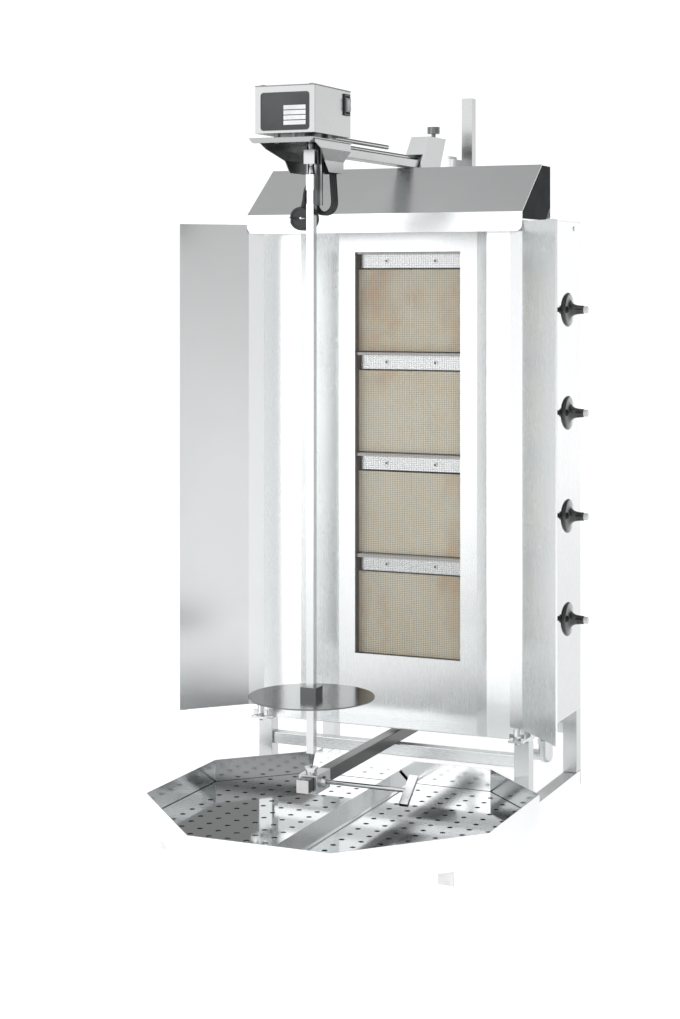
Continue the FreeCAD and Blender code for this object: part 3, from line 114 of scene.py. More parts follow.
class Paint:
    def __init__(self, name, metallic=0.0):
        self.material = bpy.data.materials.new(name)
        self.material.use_nodes = True
        self.tree = self.material.node_tree
        self.shader = self.tree.nodes["Principled BSDF"]
        self.shader.inputs["Metallic"].default_value = metallic

    def node(self, kind, settings, inputs, output=0):
        made = self.tree.nodes.new(kind)
        for name, value in settings.items():
            if name == "stops":
                fillRamp(made.color_ramp, value)
            else:
                setattr(made, name, value)
        for name, value in inputs.items():
            self.feed(made.inputs[name], value)
        return Wire(self, made.outputs[output])

    def feed(self, place, value):
        if isinstance(value, Wire):
            self.tree.links.new(value.socket, place)
        else:
            place.default_value = value

    def set(self, **values):
        for name, value in values.items():
            self.feed(self.shader.inputs[name.replace("_", " ")], value)
        return self

    def spot(self, stretch=(1, 1, 1)):
        source = self.node("ShaderNodeTexCoord", {}, {}, "Object")
        return self.node("ShaderNodeMapping", {}, {"Vector": source, "Scale": stretch})

    def grain(self, scale, detail=3, stretch=(1, 1, 1), rough=0.5):
        return self.node(
            "ShaderNodeTexNoise",
            {},
            {"Vector": self.spot(stretch), "Scale": scale, "Detail": detail, "Roughness": rough},
            "Fac",
        )

    def along(self, axis):
        return self.node("ShaderNodeSeparateXYZ", {}, {0: self.spot()}, axis)

    def ramp(self, value, *stops):
        return self.node("ShaderNodeValToRGB", {"stops": stops}, {0: value})

    def mix(self, share, first, second):
        return self.node("ShaderNodeMix", {"data_type": "RGBA"}, {0: share, 6: first, 7: second}, 2)

    def bumps(self, height, distance):
        sizes = {"Height": height, "Distance": distance, "Strength": 1.0}
        return self.set(Normal=self.node("ShaderNodeBump", {}, sizes))


def tint(value):
    if isinstance(value, (int, float)):
        return (value, value, value, 1)
    return (*value, 1)


# Brushed stainless sheet: fine lines along one axis, a slow drift in tone, faint wiping marks

# the tone of each entry below is set to how light or dark its parts show: lit and shaded copies of one
# steel, so the tone differences between them are painted light and shade
brushedLooks = {
    "panelSteel": {"tone": 0.66, "rough": 0.27, "grain": 1100, "lines": "z"},
    "reflectorSteel": {"tone": 0.90, "rough": 0.27, "grain": 1100, "lines": "z"},
    "crossSteel": {"tone": 0.80, "rough": 0.27, "grain": 1100, "lines": "x"},
    "wingSteel": {"tone": 0.70, "rough": 0.24, "grain": 1000, "lines": "z"},
    "hoodSteel": {"tone": 0.68, "rough": 0.25, "grain": 1000, "lines": "x"},
    "barSteel": {"tone": 0.96, "rough": 0.24, "grain": 1300, "lines": "y"},
    # a very dark copy for the lower bar: painted shade
    "dullSteel": {"tone": 0.12, "rough": 0.30, "grain": 1300, "lines": "y"},
    "postSteel": {"tone": 0.62, "rough": 0.24, "grain": 1300, "lines": "z"},
    "boxSteel": {"tone": 0.41, "rough": 0.28, "grain": 1500, "lines": "x"},
    "lidSteel": {"tone": 0.28, "rough": 0.24, "grain": 1500, "lines": "x"},
    "trayWallSteel": {"tone": 0.88, "rough": 0.12, "grain": 1200, "lines": "x"},
}


def cool(tone):
    return (tone * 0.975, tone * 0.995, tone)


def brushedSteel(name, look):
    paint = Paint(name, 1.0)
    stretch = [1.0, 1.0, 1.0]
    stretch["xyz".index(look["lines"])] = 0.01
    lines = paint.grain(look["grain"], 2, stretch, 0.7)
    drift = paint.grain(3.2, 2)
    wiped = paint.grain(11, 5, rough=0.62)
    tone = look["tone"]
    cloud = drift * 0.55 + lines * 0.45
    paint.set(
        Base_Color=paint.ramp(cloud, (0.3, cool(tone * 0.98)), (0.7, cool(tone * 1.02))),
        Roughness=lines * 0.05 + wiped * 0.08 + (look["rough"] - 0.065),
    )
    return paint.bumps(lines, 0.000006).material


# Polished steel: nearly a mirror, with smears that only its gloss shows

# the tones below are set part by part to how light or dark each part shows; the disc and handle copies
# are darkened as painted shade
polishedLooks = {
    "polishedSteel": {"tone": 0.66, "rough": 0.12},
    "mirrorSteel": {"tone": 0.60, "rough": 0.05},
    "discSteel": {"tone": 0.17, "rough": 0.12},
    "handleSteel": {"tone": 0.42, "rough": 0.16},
    "castSteel": {"tone": 0.72, "rough": 0.30},
    "screwSteel": {"tone": 0.22, "rough": 0.34},
    "guardWire": {"tone": 0.16, "rough": 0.36},
}


def polishedSteel(name, look):
    paint = Paint(name, 1.0)
    smear = paint.grain(17, 5, rough=0.6)
    tone = look["tone"]
    paint.set(
        Base_Color=paint.ramp(paint.grain(9, 3), (0.35, cool(tone * 0.95)), (0.7, cool(tone))),
        Roughness=smear * 0.11 + (look["rough"] - 0.04),
    )
    return paint.bumps(paint.grain(700, 2), 0.00001).material


# Moulded plastic and rubber: a little uneven in colour, with a fine skin

plasticLooks = {
    "knobPlastic": {"colour": (0.012, 0.013, 0.015), "rough": 0.13, "skin": 260, "depth": 0.00001},
    "darkPlastic": {"colour": (0.022, 0.023, 0.025), "rough": 0.42, "skin": 1500, "depth": 0.00004},
    "cordRubber": {"colour": (0.014, 0.014, 0.016), "rough": 0.46, "skin": 2400, "depth": 0.00003},
    "capPlastic": {"colour": (0.84, 0.84, 0.83), "rough": 0.42, "skin": 1200, "depth": 0.00004},
    "rockerPlastic": {"colour": (0.36, 0.37, 0.38), "rough": 0.30, "skin": 1500, "depth": 0.00002},
    "plateEnamel": {"colour": (0.045, 0.046, 0.05), "rough": 0.3, "skin": 900, "depth": 0.00002},
    "seamPaste": {"colour": (0.97, 0.94, 0.84), "rough": 0.8, "skin": 900, "depth": 0.00004},
    "plateField": {"colour": (0.86, 0.87, 0.88), "rough": 0.5, "skin": 900, "depth": 0.00002},
    "hoodEndPaint": {"colour": (0.055, 0.057, 0.06), "rough": 0.5, "skin": 900, "depth": 0.00002,
                     "shine": 0.0},
    "motorPaint": {"colour": (0.20, 0.21, 0.23), "rough": 0.5, "skin": 1100, "depth": 0.00005},
}


def mouldedPlastic(name, look):
    paint = Paint(name)
    shade = [part * 0.82 for part in look["colour"]]
    paint.set(
        Base_Color=paint.ramp(paint.grain(38, 4), (0.35, shade), (0.7, look["colour"])),
        Roughness=paint.grain(55, 3) * 0.14 + (look["rough"] - 0.06),
        Specular_IOR_Level=look.get("shine", 0.5),
    )
    return paint.bumps(paint.grain(look["skin"], 2), look["depth"]).material


# Burner tile: pale ceramic with a grid of fine holes darkened as painted shade, and warm stains from
# the flame

tile = {
    "pale": (0.99, 0.93, 0.76),
    "deep": (0.95, 0.86, 0.66),
    "stain": (0.74, 0.45, 0.24),
    "holeStep": 2.1 * mm,
    "holeShare": 0.22,
    "stainShare": 0.75,
    "depth": 0.4 * mm,
}


def burnerCeramic():
    paint = Paint("burnerCeramic")
    waves = [
        paint.node(
            "ShaderNodeMath",
            {"operation": "SINE"},
            {0: paint.along(axis) * (2 * math.pi / tile["holeStep"])},
        )
        for axis in ("X", "Z")
    ]
    holes = paint.node(
        "ShaderNodeMapRange", {}, {"Value": waves[0] * waves[1], "From Min": 0.25, "From Max": 0.7}
    )
    body = paint.ramp(paint.grain(8, 5), (0.32, tile["deep"]), (0.66, tile["pale"]))
    patches = paint.grain(13, 4, (1, 1, 0.6))
    stains = paint.node(
        "ShaderNodeMapRange", {}, {"Value": patches, "From Min": 0.5, "From Max": 0.74}
    )
    stained = paint.mix(stains * tile["stainShare"], body, tint(tile["stain"]))
    # the holes take a darker tone: painted shade inside them
    dark = tint([part * 0.35 for part in tile["deep"]])
    paint.set(
        Base_Color=paint.mix(holes * tile["holeShare"], stained, dark),
        Roughness=paint.grain(60, 3) * 0.1 + 0.8,
    )
    return paint.bumps(1 - holes + paint.grain(1500, 2) * 0.3, tile["depth"]).material


# Burner pans: heated sheet, very dark brown inside their left ends, partly soot stains and partly
# painted shade of the shadowed pan side

pan = {"sootAndShade": (0.09, 0.068, 0.05), "sheet": (0.60, 0.59, 0.57), "edge": 2 * mm}


def heatedSheet():
    paint = Paint("heatedSheet")
    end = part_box("burner_strips")[0].x
    inner = paint.node(
        "ShaderNodeMapRange",
        {},
        {"Value": paint.along("X"), "From Min": end - pan["edge"], "From Max": end},
    )
    # very dark left ends: soot stains and painted shade together
    thin = [part * 1.9 for part in pan["sootAndShade"]]
    sootAndShade = paint.ramp(paint.grain(24, 4), (0.3, pan["sootAndShade"]), (0.75, thin))
    paint.set(
        Base_Color=paint.mix(inner, sootAndShade, tint(pan["sheet"])),
        Roughness=paint.grain(55, 3) * 0.14 + 0.5,
        Specular_IOR_Level=0.2,
    )
    return paint.bumps(paint.grain(900, 2), 0.00003).material


finishes = {"burnerCeramic": burnerCeramic(), "heatedSheet": heatedSheet()}
for looks, maker in (
    (brushedLooks, brushedSteel),
    (polishedLooks, polishedSteel),
    (plasticLooks, mouldedPlastic),
):
    for name, look in looks.items():
        finishes[name] = maker(name, look)
finishes["knobPlastic"].node_tree.nodes["Principled BSDF"].inputs["Coat Weight"].default_value = 0.6
print("finishes mixed:", len(finishes))

# CAD nodes that keep their shape and take a finish; parts of one steel take copies at different tones,
# which paint their light and shade

dressing = {
    "panelSteel": ["side_panel_left", "side_panel_right", "back_panel", "centre_front_frame"],
    # wing_right takes the lighter reflector copy and wing_left a darker one, though both are one
    # sheet: painted light and shade
    "reflectorSteel": ["reflector_left", "reflector_right", "wing_right"],
    "crossSteel": ["top_plate", "bottom_plate", "cross_tubes"],
    "boxSteel": ["motor_box", "motor_cradle", "clamp_bracket", "upper_arm_bar",
                 "spit_guide_channel", "column"],
    "lidSteel": ["motor_lid", "motor_plate"],
    "wingSteel": ["wing_left", "wing_lugs"],
    "hoodSteel": ["hood"],
    "barSteel": ["base_rails", "arm_sleeve"],
    "dullSteel": ["lower_bar"],
    "postSteel": ["posts", "burner_strips"],
    "trayWallSteel": ["drip_tray"],
    "mirrorSteel": ["perforated_plates"],
    "discSteel": ["meat_disc"],
    "polishedSteel": ["spit", "bearing_cup", "clamp_screw", "wing_hinge_bolts", "centre_ridge"],
    "screwSteel": ["head_screws", "thumb_screw"],
    "handleSteel": ["arm_handle", "coupling"],
    "castSteel": ["carriage", "inlet_elbow", "gas_manifold", "gas_valves", "burner_feed_pipes"],
    "guardWire": ["mesh_guard"],
    "capPlastic": ["tube_end_caps"],
    "knobPlastic": ["knob_1", "knob_2", "knob_3", "knob_4"],
    "darkPlastic": ["rocker_frame", "cord_gland", "plug"],
    "rockerPlastic": ["rocker"],
    "motorPaint": ["gear_motor"],
    "plateEnamel": ["rating_plate"],
    "heatedSheet": ["burner_pans"],
    "hoodEndPaint": ["hood_end_plates"],
    "burnerCeramic": ["ceramic_tiles"],
}
softEdges = {
    0.5 * mm: ["side_panel_left", "side_panel_right", "top_plate", "hood", "wing_left", "wing_right",
               "motor_box", "motor_lid", "motor_plate", "motor_cradle", "drip_tray", "centre_ridge"],
    1.6 * mm: ["base_rails", "posts", "cross_tubes", "lower_bar"],
    0.8 * mm: ["carriage", "clamp_screw", "clamp_bracket", "upper_arm_bar", "spit", "coupling",
               "tube_end_caps", "wing_hinge_bolts", "rocker_frame", "arm_sleeve", "meat_disc"],
}


def coatNode(name, finish):
    item = nodes[name]
    if not item.material_slots:
        item.data.materials.append(finishes[finish])
    for place in item.material_slots:
        place.link = "OBJECT"
        place.material = finishes[finish]


def roundEdges(item, width, angle=32):
    weld = item.modifiers.new("closeSeams", "WELD")
    weld.merge_threshold = 0.01 * mm  # the CAD faces arrive unjoined
    edge = item.modifiers.new("roundEdges", "BEVEL")
    edge.width = width
    edge.segments = 2
    edge.limit_method = "ANGLE"
    edge.angle_limit = math.radians(angle)
    edge.use_clamp_overlap = True
    edge.harden_normals = True


for finish, names in dressing.items():
    for name in names:
        coatNode(name, finish)
for width, names in softEdges.items():
    for name in names:
        roundEdges(nodes[name], width)
print("CAD nodes finished")

# Power cord: three loops that hang from the gland, then one strand down to the plug

hank = {
    "middle": 10.5 * mm,
    "lowRadius": 16 * mm,
    "highRadius": 8 * mm,
    "front": (-377.5 + 174.25) * mm,
    "step": 6.7 * mm,
    "low": 1008 * mm,
    "high": 1079 * mm,
    "gland": 1084 * mm,
    "loops": 3,
    "cordRadius": 3 * mm,
    "plug": -30 * mm,
    "relief": 1018 * mm,
    "length": 0.733,
    "turnPoints": 7,
}


def turnOfHank(radius, y, z, first, last):
    wide = radius * 1.045  # the spline cuts inside its control points
    count = hank["turnPoints"]
    angles = [first + (last - first) * part / (count - 1) for part in range(count)]
    return [Vector((hank["middle"] + wide * math.cos(a), y, z + wide * math.sin(a))) for a in angles]


def hankRoute():
    lean = math.asin((hank["lowRadius"] - hank["highRadius"]) / (hank["high"] - hank["low"]))
    left = hank["middle"] - hank["lowRadius"]
    half = (hank["gland"] + hank["low"]) / 2
    points = [Vector((left, hank["front"], hank["gland"])), Vector((left, hank["front"], half))]
    for loop in range(hank["loops"]):
        y = hank["front"] + loop * hank["step"]
        isLast = loop == hank["loops"] - 1
        enter = math.pi if loop == 0 else math.pi - lean
        leave = math.pi if isLast else math.pi - lean
        low = turnOfHank(hank["lowRadius"], y, hank["low"], enter, 2 * math.pi + lean)
        high = turnOfHank(hank["highRadius"], y + hank["step"], hank["high"], lean, leave)
        rise = high[0] - low[-1]
        points += low + [low[-1] + rise * 0.25 - Vector((0, rise.y * 0.1, 0))]
        points += [low[-1] + rise * 0.75 + Vector((0, rise.y * 0.1, 0))] + high
        if not isLast:
            foot = turnOfHank(hank["lowRadius"], y + hank["step"], hank["low"], leave, leave + 1)[0]
            points.append((high[-1] + foot) / 2)
    drop = hank["high"] - hank["relief"]
    last = points[-1]
    points.append(Vector((last.x, last.y, hank["high"] - drop * 0.3)))
    points.append(Vector((hank["plug"], last.y, hank["relief"] + drop * 0.3)))
    points.append(Vector((hank["plug"], last.y, hank["relief"])))
    return points


def hangCord():
    route = hankRoute()
    data = bpy.data.curves.new("powerCord", "CURVE")
    data.dimensions = "3D"
    spline = data.splines.new("NURBS")
    spline.points.add(len(route) - 1)
    for place, point in zip(spline.points, route):
        place.co = (*point, 1)
    spline.order_u = 3
    spline.use_endpoint_u = True
    spline.resolution_u = 6
    data.bevel_depth = hank["cordRadius"]
    data.bevel_resolution = 4
    data.use_fill_caps = True
    item = bpy.data.objects.new("powerCord", data)
    bpy.context.collection.objects.link(item)
    item.data.materials.append(finishes["cordRubber"])
    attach(item, "arm_body")
    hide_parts("cord_hank", "cord_tail")
    return item, route


cord, cordRoute = hangCord()
print("cord hung")

# Modelling helpers: each works on the primitive that was just added

facings = {
    "x": {"turn": (0, math.pi / 2, 0), "way": Vector((1, 0, 0))},
    "-y": {"turn": (math.pi / 2, 0, 0), "way": Vector((0, -1, 0))},
    "z": {"turn": (0, 0, 0), "way": Vector((0, 0, 1))},
    "-z": {"turn": (math.pi, 0, 0), "way": Vector((0, 0, -1))},
}


def letGo():
    if bpy.context.object and bpy.context.object.mode != "OBJECT":
        bpy.ops.object.mode_set(mode="OBJECT")
    bpy.ops.object.select_all(action="DESELECT")


def pick(kind, test):
    # selects the faces, edges or vertices of the mesh in edit mode that pass a test
    shape = bmesh.from_edit_mesh(bpy.context.object.data)
    bpy.ops.mesh.select_mode(type={"faces": "FACE", "edges": "EDGE", "verts": "VERT"}[kind])
    bpy.ops.mesh.select_all(action="DESELECT")
    for part in getattr(shape, kind):
        if test(part):
            part.select_set(True)
    shape.select_flush_mode()
    bmesh.update_edit_mesh(bpy.context.object.data)


def startBlock(low, high):
    letGo()
    low, high = Vector(low), Vector(high)
    bpy.ops.mesh.primitive_cube_add(size=1, location=(low + high) / 2, scale=high - low)
    bpy.ops.object.transform_apply(location=True, rotation=True, scale=True)
    bpy.ops.object.mode_set(mode="EDIT")
    return bpy.context.object


def startTurned(place, facing, rings, sides=48):
    # a disc that is drawn out along its axis, ring by ring, each to its own radius
    letGo()
    way = facings[facing]["way"]
    height, radius = rings[0]
    bpy.ops.mesh.primitive_circle_add(
        vertices=sides, radius=radius, fill_type="NGON",
        location=Vector(place) + way * height, rotation=facings[facing]["turn"],
    )
    bpy.ops.object.transform_apply(location=True, rotation=True, scale=True)
    bpy.ops.object.mode_set(mode="EDIT")
    bpy.ops.mesh.select_mode(type="FACE")
    bpy.ops.mesh.select_all(action="SELECT")
    for nextHeight, nextRadius in rings[1:]:
        bpy.ops.mesh.extrude_region_move(
            TRANSFORM_OT_translate={"value": way * (nextHeight - height)}
        )
        scale = nextRadius / radius
        centre = Vector(place) + way * nextHeight
        bpy.ops.transform.resize(value=(scale, scale, scale), center_override=centre)
        height, radius = nextHeight, nextRadius
    return bpy.context.object


def endPiece(name, finish, body, replaced=(), sharp=35):
    # faces outwards, smooth where it is gentle, with its finish, on its body
    bpy.ops.object.mode_set(mode="EDIT")
    bpy.ops.mesh.select_all(action="SELECT")
    bpy.ops.mesh.normals_make_consistent(inside=False)
    bpy.ops.object.mode_set(mode="OBJECT")
    bpy.ops.object.shade_smooth_by_angle(angle=math.radians(sharp))
    item = bpy.context.object
    item.name = name
    item.data.name = name
    item.data.materials.append(finishes[finish])
    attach(item, body)
    if replaced:
        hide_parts(*replaced)
    return item


def repeatPiece(item, count, step):
    # an array along one step, applied
    array = item.modifiers.new("repeat", "ARRAY")
    array.use_relative_offset = False
    array.use_constant_offset = True
    array.constant_offset_displace = step
    array.count = count
    bpy.ops.object.modifier_apply(modifier=array.name)


def joinPieces(items):
    letGo()
    for item in items:
        item.select_set(True)
    bpy.context.view_layer.objects.active = items[0]
    bpy.ops.object.join()


# Wire guard: two layers of fine wires over the whole opening

guard = {"pitch": 3.2 * mm, "wire": 0.33 * mm}


def weaveGuard():
    low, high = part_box("mesh_guard")
    middle = (low.y + high.y) / 2
    wire, pitch = guard["wire"], guard["pitch"]
    upright = startBlock((low.x, middle, low.z), (low.x + wire, middle + wire, high.z))
    bpy.ops.object.mode_set(mode="OBJECT")
    repeatPiece(upright, int((high.x - low.x) / pitch), (pitch, 0, 0))
    level = startBlock((low.x, middle - wire, low.z), (high.x, middle, low.z + wire))
    bpy.ops.object.mode_set(mode="OBJECT")
    repeatPiece(level, int((high.z - low.z) / pitch), (0, 0, pitch))
    joinPieces([upright, level])
    endPiece("wireGuard", "guardWire", "stand", ["mesh_guard"])


weaveGuard()
print("wire guard woven")

# Pale paste in the joint between the two tiles of each burner

seam = {"wide": 2.8 * mm, "proud": 0.3 * mm, "deep": 1 * mm, "short": 3 * mm}


def fillSeams():
    low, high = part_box("ceramic_tiles")
    tileHigh = high.z - low.z - (burners - 1) * burnerPitch
    paste = startBlock(
        (-seam["wide"] / 2, low.y - seam["proud"], low.z + seam["short"]),
        (seam["wide"] / 2, low.y + seam["deep"], low.z + tileHigh - seam["short"]),
    )
    bpy.ops.object.mode_set(mode="OBJECT")
    repeatPiece(paste, burners, (0, 0, burnerPitch))
    endPiece("tileSeams", "seamPaste", "stand")


fillSeams()
print("tile joints filled")

# Control knobs: a wide skirt that sweeps up into a slim grip, on a stem, with a light tip

knob = {
    "back": [(0.0, 17.0), (0.3, 22.5), (1.6, 25.4), (3.6, 27.6), (5.8, 28.9)],
    "sweep": [(7.2, 29.0), (8.4, 28.5), (9.4, 27.0), (10.0, 24.4), (10.8, 20.4), (11.8, 16.8),
              (13.2, 13.6), (15.4, 11.0), (18.6, 9.2), (22.6, 8.1), (27.0, 7.5), (33.6, 7.2),
              (34.6, 6.8), (35.0, 6.0)],
    "tip": [(35.0, 5.4), (35.1, 6.0), (41.2, 6.0), (41.8, 5.6), (42.0, 4.8)],
    "stem": [(-22.0, 4.0), (-7.5, 4.0), (-7.4, 7.0), (-5.6, 7.4), (-1.0, 7.4), (-0.2, 7.0)],
    "reach": 42.0,
}


def scaled(rings):
    return [(height * mm, radius * mm) for height, radius in rings]


def turnKnobs():
    for number in range(1, burners + 1):
        low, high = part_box("knob_%d" % number)
        place = (high.x - knob["reach"] * mm, (low.y + high.y) / 2, (low.z + high.z) / 2)
        body = "knob_%d_body" % number
        startTurned(place, "x", scaled(knob["back"] + knob["sweep"]), 64)
        endPiece("knobGrip%d" % number, "knobPlastic", body, ["knob_%d" % number], 50)
        startTurned(place, "x", scaled(knob["tip"]), 40)
        endPiece("knobTip%d" % number, "capPlastic", body)
        startTurned(place, "x", scaled(knob["stem"]), 40)
        endPiece("knobStem%d" % number, "darkPlastic", body)


turnKnobs()
print("knobs turned")

# Rating plate: dark with round corners, a sunk middle and four plain pale fields

plate = {
    "corner": 5 * mm, "rim": 1.6 * mm, "slope": 0.4 * mm, "groove": 0.15 * mm,
    "fieldWide": 36 * mm, "fieldHigh": 6.3 * mm, "fieldStep": 7.6 * mm, "fields": 4,
    "fieldRight": 6 * mm, "fieldLow": 8 * mm, "fieldDeep": 0.3 * mm,
}


def makePlate():
    low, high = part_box("rating_plate")
    startBlock(low, high)
    pick("edges", lambda edge: abs(edge.verts[0].co.y - edge.verts[1].co.y) > near)
    bpy.ops.mesh.bevel(offset=plate["corner"], segments=6, affect="EDGES")
    pick("faces", lambda face: face.normal.y < -0.9)
    bpy.ops.mesh.inset(thickness=plate["rim"])
    bpy.ops.mesh.inset(thickness=plate["slope"], depth=-plate["groove"])
    endPiece("ratingPlate", "plateEnamel", "arm_body", ["rating_plate"])
    right = high.x - plate["fieldRight"]
    bottom = low.z + plate["fieldLow"]
    field = startBlock(
        (right - plate["fieldWide"], low.y, bottom),
        (right, low.y + plate["fieldDeep"], bottom + plate["fieldHigh"]),
    )
    bpy.ops.object.mode_set(mode="OBJECT")
    repeatPiece(field, plate["fields"], (0, 0, plate["fieldStep"]))
    endPiece("plateFields", "plateField", "arm_body")


makePlate()
print("rating plate made")

# Rocker switch: the paddle bulges at its ends and dips a little at its pivot

rocker = {
    "side": 1.2 * mm,
    "dip": 1.2 * mm,
    "waist": 5 * mm,
    "ends": 4.5 * mm,
    "soft": 0.4 * mm,
}


def makeRocker():
    low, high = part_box("rocker")
    middle = (low.z + high.z) / 2
    side = rocker["side"]
    startBlock((low.x, low.y + side, low.z), (high.x, high.y - side, high.z))
    bpy.ops.mesh.select_all(action="SELECT")
    bpy.ops.mesh.bisect(plane_co=(0, 0, middle), plane_no=(0, 0, 1))
    pick("edges", lambda edge: all(v.co.x > high.x - near and abs(v.co.z - middle) < near
                                   for v in edge.verts))
    bpy.ops.transform.translate(value=(-rocker["dip"], 0, 0))
    bpy.ops.mesh.bevel(offset=rocker["waist"], segments=5, affect="EDGES")
    pick("edges", lambda edge: all(v.co.x > high.x - near for v in edge.verts)
         and abs(edge.verts[0].co.z - edge.verts[1].co.z) < near)
    bpy.ops.mesh.bevel(offset=rocker["ends"], segments=5, affect="EDGES")
    item = endPiece("rockerPaddle", "rockerPlastic", "rocker_body", ["rocker"])
    roundEdges(item, rocker["soft"], 50)


makeRocker()
print("rocker shaped")

# Screws: two plain pan heads on each burner strip

screw = {
    "head": [(0.0, 4.0), (0.5, 4.0), (1.1, 3.4), (1.5, 2.2)],
    "side": 45 * mm,
    "down": 12 * mm,
    "sink": 1.4 * mm,
}


def driveScrews():
    low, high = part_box("burner_strips")
    face = low.y + screw["sink"]
    heads = []
    for number in range(burners):
        height = high.z - screw["down"] - number * burnerPitch
        for x in (-screw["side"], screw["side"]):
            heads.append(startTurned((x, face, height), "-y", scaled(screw["head"]), 24))
            bpy.ops.object.mode_set(mode="OBJECT")
    joinPieces(heads)
    endPiece("stripScrewHeads", "screwSteel", "stand")


driveScrews()
print("screws driven")

# Cord gland and plug, each with a ribbed sleeve that tapers to the cord

ribs = {"step": 2.8, "wide": 1.6, "groove": 0.55}


def ribbedSleeve(start, end, firstRadius, lastRadius):
    count = int((end - start) / ribs["step"])
    rings = []
    for number in range(count):
        share = number / (count - 1)
        radius = firstRadius + (lastRadius - firstRadius) * share
        height = start + number * ribs["step"]
        rings += [(height, radius), (height + ribs["wide"], radius - 0.1)]
        rings += [(height + ribs["wide"] + 0.2, radius - ribs["groove"])]
        rings += [(height + ribs["step"] - 0.2, radius - ribs["groove"] - 0.1)]
    return rings + [(end, lastRadius - 0.2)]


plug = {
    "body": [(0.0, 15.0), (0.6, 16.4), (2.6, 18.0), (5.5, 18.5), (31.0, 18.5), (34.6, 18.0),
             (36.0, 16.8), (36.0, 14.2), (34.6, 14.0)],
    "pin": [(34.0, 2.4), (52.4, 2.4), (54.2, 2.0), (55.0, 1.2)],
    "pinSide": 9.5 * mm,
    "waist": 0.87, "waistHigh": 3.6 * mm, "waistFrom": 20 * mm,
    "sleeve": (6.6, 3.9), "sleeveSink": 1.5, "sleeveBack": 18 * mm,
}
gland = {"collar": [(0.0, 5.0), (3.0, 5.0), (3.2, 4.7)], "sleeve": (4.7, 3.6), "sleeveFrom": 3.4}


def makePlug():
    low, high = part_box("plug")
    radius = max(ring[1] for ring in plug["body"]) * mm
    x, y, z = (low.x + high.x) / 2, high.y, low.z + radius
    startTurned((x, y, z), "-y", scaled(plug["body"]), 64)
    pick("verts", lambda v: abs(v.co.x - x) > radius * 0.9
         and abs(v.co.z - z) < plug["waistHigh"] and v.co.y < y - plug["waistFrom"])
    bpy.ops.transform.resize(value=(plug["waist"], 1, 1), center_override=(x, y, z))
    endPiece("plugBody", "darkPlastic", "arm_body", ["plug"])
    pins = []
    for side in (-plug["pinSide"], plug["pinSide"]):
        pins.append(startTurned((x + side, y, z), "-y", scaled(plug["pin"]), 24))
        bpy.ops.object.mode_set(mode="OBJECT")
    joinPieces(pins)
    endPiece("plugPins", "polishedSteel", "arm_body")
    relief = ribbedSleeve(radius / mm - plug["sleeveSink"], (high.z - z) / mm, *plug["sleeve"])
    startTurned((x, y - plug["sleeveBack"], z), "z", scaled(relief), 32)
    endPiece("plugSleeve", "darkPlastic", "arm_body")


def makeGland():
    low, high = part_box("cord_gland")
    place = ((low.x + high.x) / 2, (low.y + high.y) / 2, high.z)
    sleeve = ribbedSleeve(gland["sleeveFrom"], (high.z - low.z) / mm, *gland["sleeve"])
    startTurned(place, "-z", scaled(gland["collar"] + sleeve), 32)
    endPiece("glandSleeve", "darkPlastic", "arm_body", ["cord_gland"])


makePlug()
makeGland()
print("plug and gland made")

# Studio: a plain white floor that glows a little, so that it comes out white, a sky in soft
# bands that is brighter in front and dimmer to the right, and three soft boxes

studio = {
    "floorSize": 60,
    "floorDrop": -0.5 * mm,
    "floorTone": 0.96,
    "floorGlow": 0.56,
    "sky": [(0.0, 1.0), (0.575, 1.0), (0.6, 0.3), (0.68, 0.19), (0.8, 0.46), (1.0, 0.42)],
    "skyStrength": 1.13,
    "rightDim": 0.6,
    "rightSpan": (0.5, 0.8),
    "frontSky": 0.9,
    "frontSpan": (-0.1, -0.5),
    "exposure": 0.0,
}
boxes = [
    {"name": "front", "place": (-1.5, -3.5, 1.1), "aim": (0, 0, 0.8), "size": (1.8, 2.4), "watts": 15},
    {"name": "behind", "place": (2.6, 4.6, 1.0), "aim": (0.2, 0, 0.7), "size": (2.6, 2.4), "watts": 9},
    {"name": "top", "place": (-0.8, -0.6, 3.2), "aim": (0, 0, 0.5), "size": (1.6, 1.4), "watts": 9},
]


def skyRange(tree, source, span):
    made = tree.nodes.new("ShaderNodeMapRange")
    made.inputs["From Min"].default_value, made.inputs["From Max"].default_value = span
    tree.links.new(source, made.inputs["Value"])
    return made


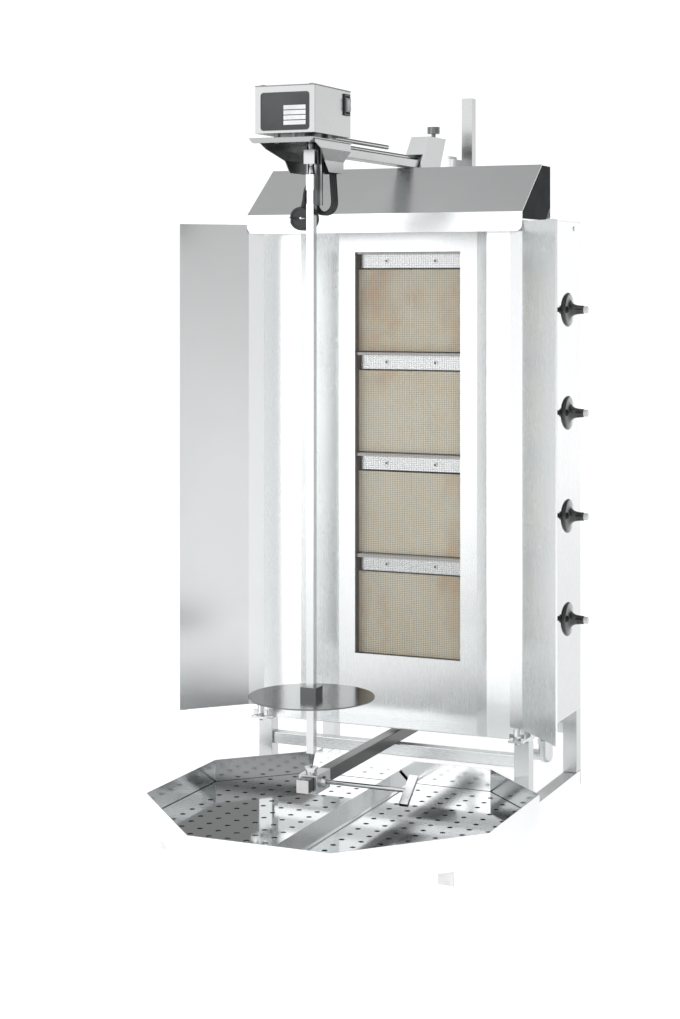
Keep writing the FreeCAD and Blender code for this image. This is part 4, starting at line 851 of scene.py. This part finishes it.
def paintSky():
    world = bpy.data.worlds.new("studioSky")
    bpy.context.scene.world = world
    world.use_nodes = True
    tree = world.node_tree
    shade = tree.nodes["Background"]
    source = tree.nodes.new("ShaderNodeTexCoord")
    split = tree.nodes.new("ShaderNodeSeparateXYZ")
    tree.links.new(source.outputs["Generated"], split.inputs[0])
    band = tree.nodes.new("ShaderNodeValToRGB")
    fillRamp(band.color_ramp, studio["sky"])
    tree.links.new(skyRange(tree, split.outputs["Z"], (-1, 1)).outputs[0], band.inputs[0])
    dim = skyRange(tree, split.outputs["X"], studio["rightSpan"])
    dim.inputs["To Min"].default_value = studio["skyStrength"]
    dim.inputs["To Max"].default_value = studio["skyStrength"] * studio["rightDim"]
    tree.links.new(dim.outputs[0], shade.inputs["Strength"])
    ahead = skyRange(tree, split.outputs["Y"], studio["frontSpan"])
    blend = tree.nodes.new("ShaderNodeMix")
    blend.data_type = "RGBA"
    blend.inputs[7].default_value = tint(studio["frontSky"])
    tree.links.new(ahead.outputs[0], blend.inputs[0])
    tree.links.new(band.outputs[0], blend.inputs[6])
    tree.links.new(blend.outputs[2], shade.inputs["Color"])


def layFloor():
    letGo()
    bpy.ops.mesh.primitive_plane_add(size=studio["floorSize"], location=(0, 0, studio["floorDrop"]))
    floor = bpy.context.object
    floor.name = "floor"
    paint = Paint("floorWhite")
    tone = studio["floorTone"]
    paint.set(
        Base_Color=paint.ramp(paint.grain(0.6, 2), (0.3, tone * 0.99), (0.7, tone)),
        Roughness=0.7,
        Emission_Color=tint(1.0),
        Emission_Strength=studio["floorGlow"],
    )
    floor.data.materials.append(paint.material)


def hangLights():
    for box in boxes:
        data = bpy.data.lights.new(box["name"], "AREA")
        data.shape = "RECTANGLE"
        data.size, data.size_y = box["size"]
        data.energy = box["watts"]
        item = bpy.data.objects.new(box["name"], data)
        item.location = box["place"]
        way = Vector(box["aim"]) - Vector(box["place"])
        item.rotation_euler = way.to_track_quat("-Z", "Y").to_euler()
        bpy.context.collection.objects.link(item)


paintSky()
layFloor()
hangLights()
bpy.context.scene.view_settings.view_transform = "Standard"
bpy.context.scene.view_settings.exposure = studio["exposure"]
print("studio lit")
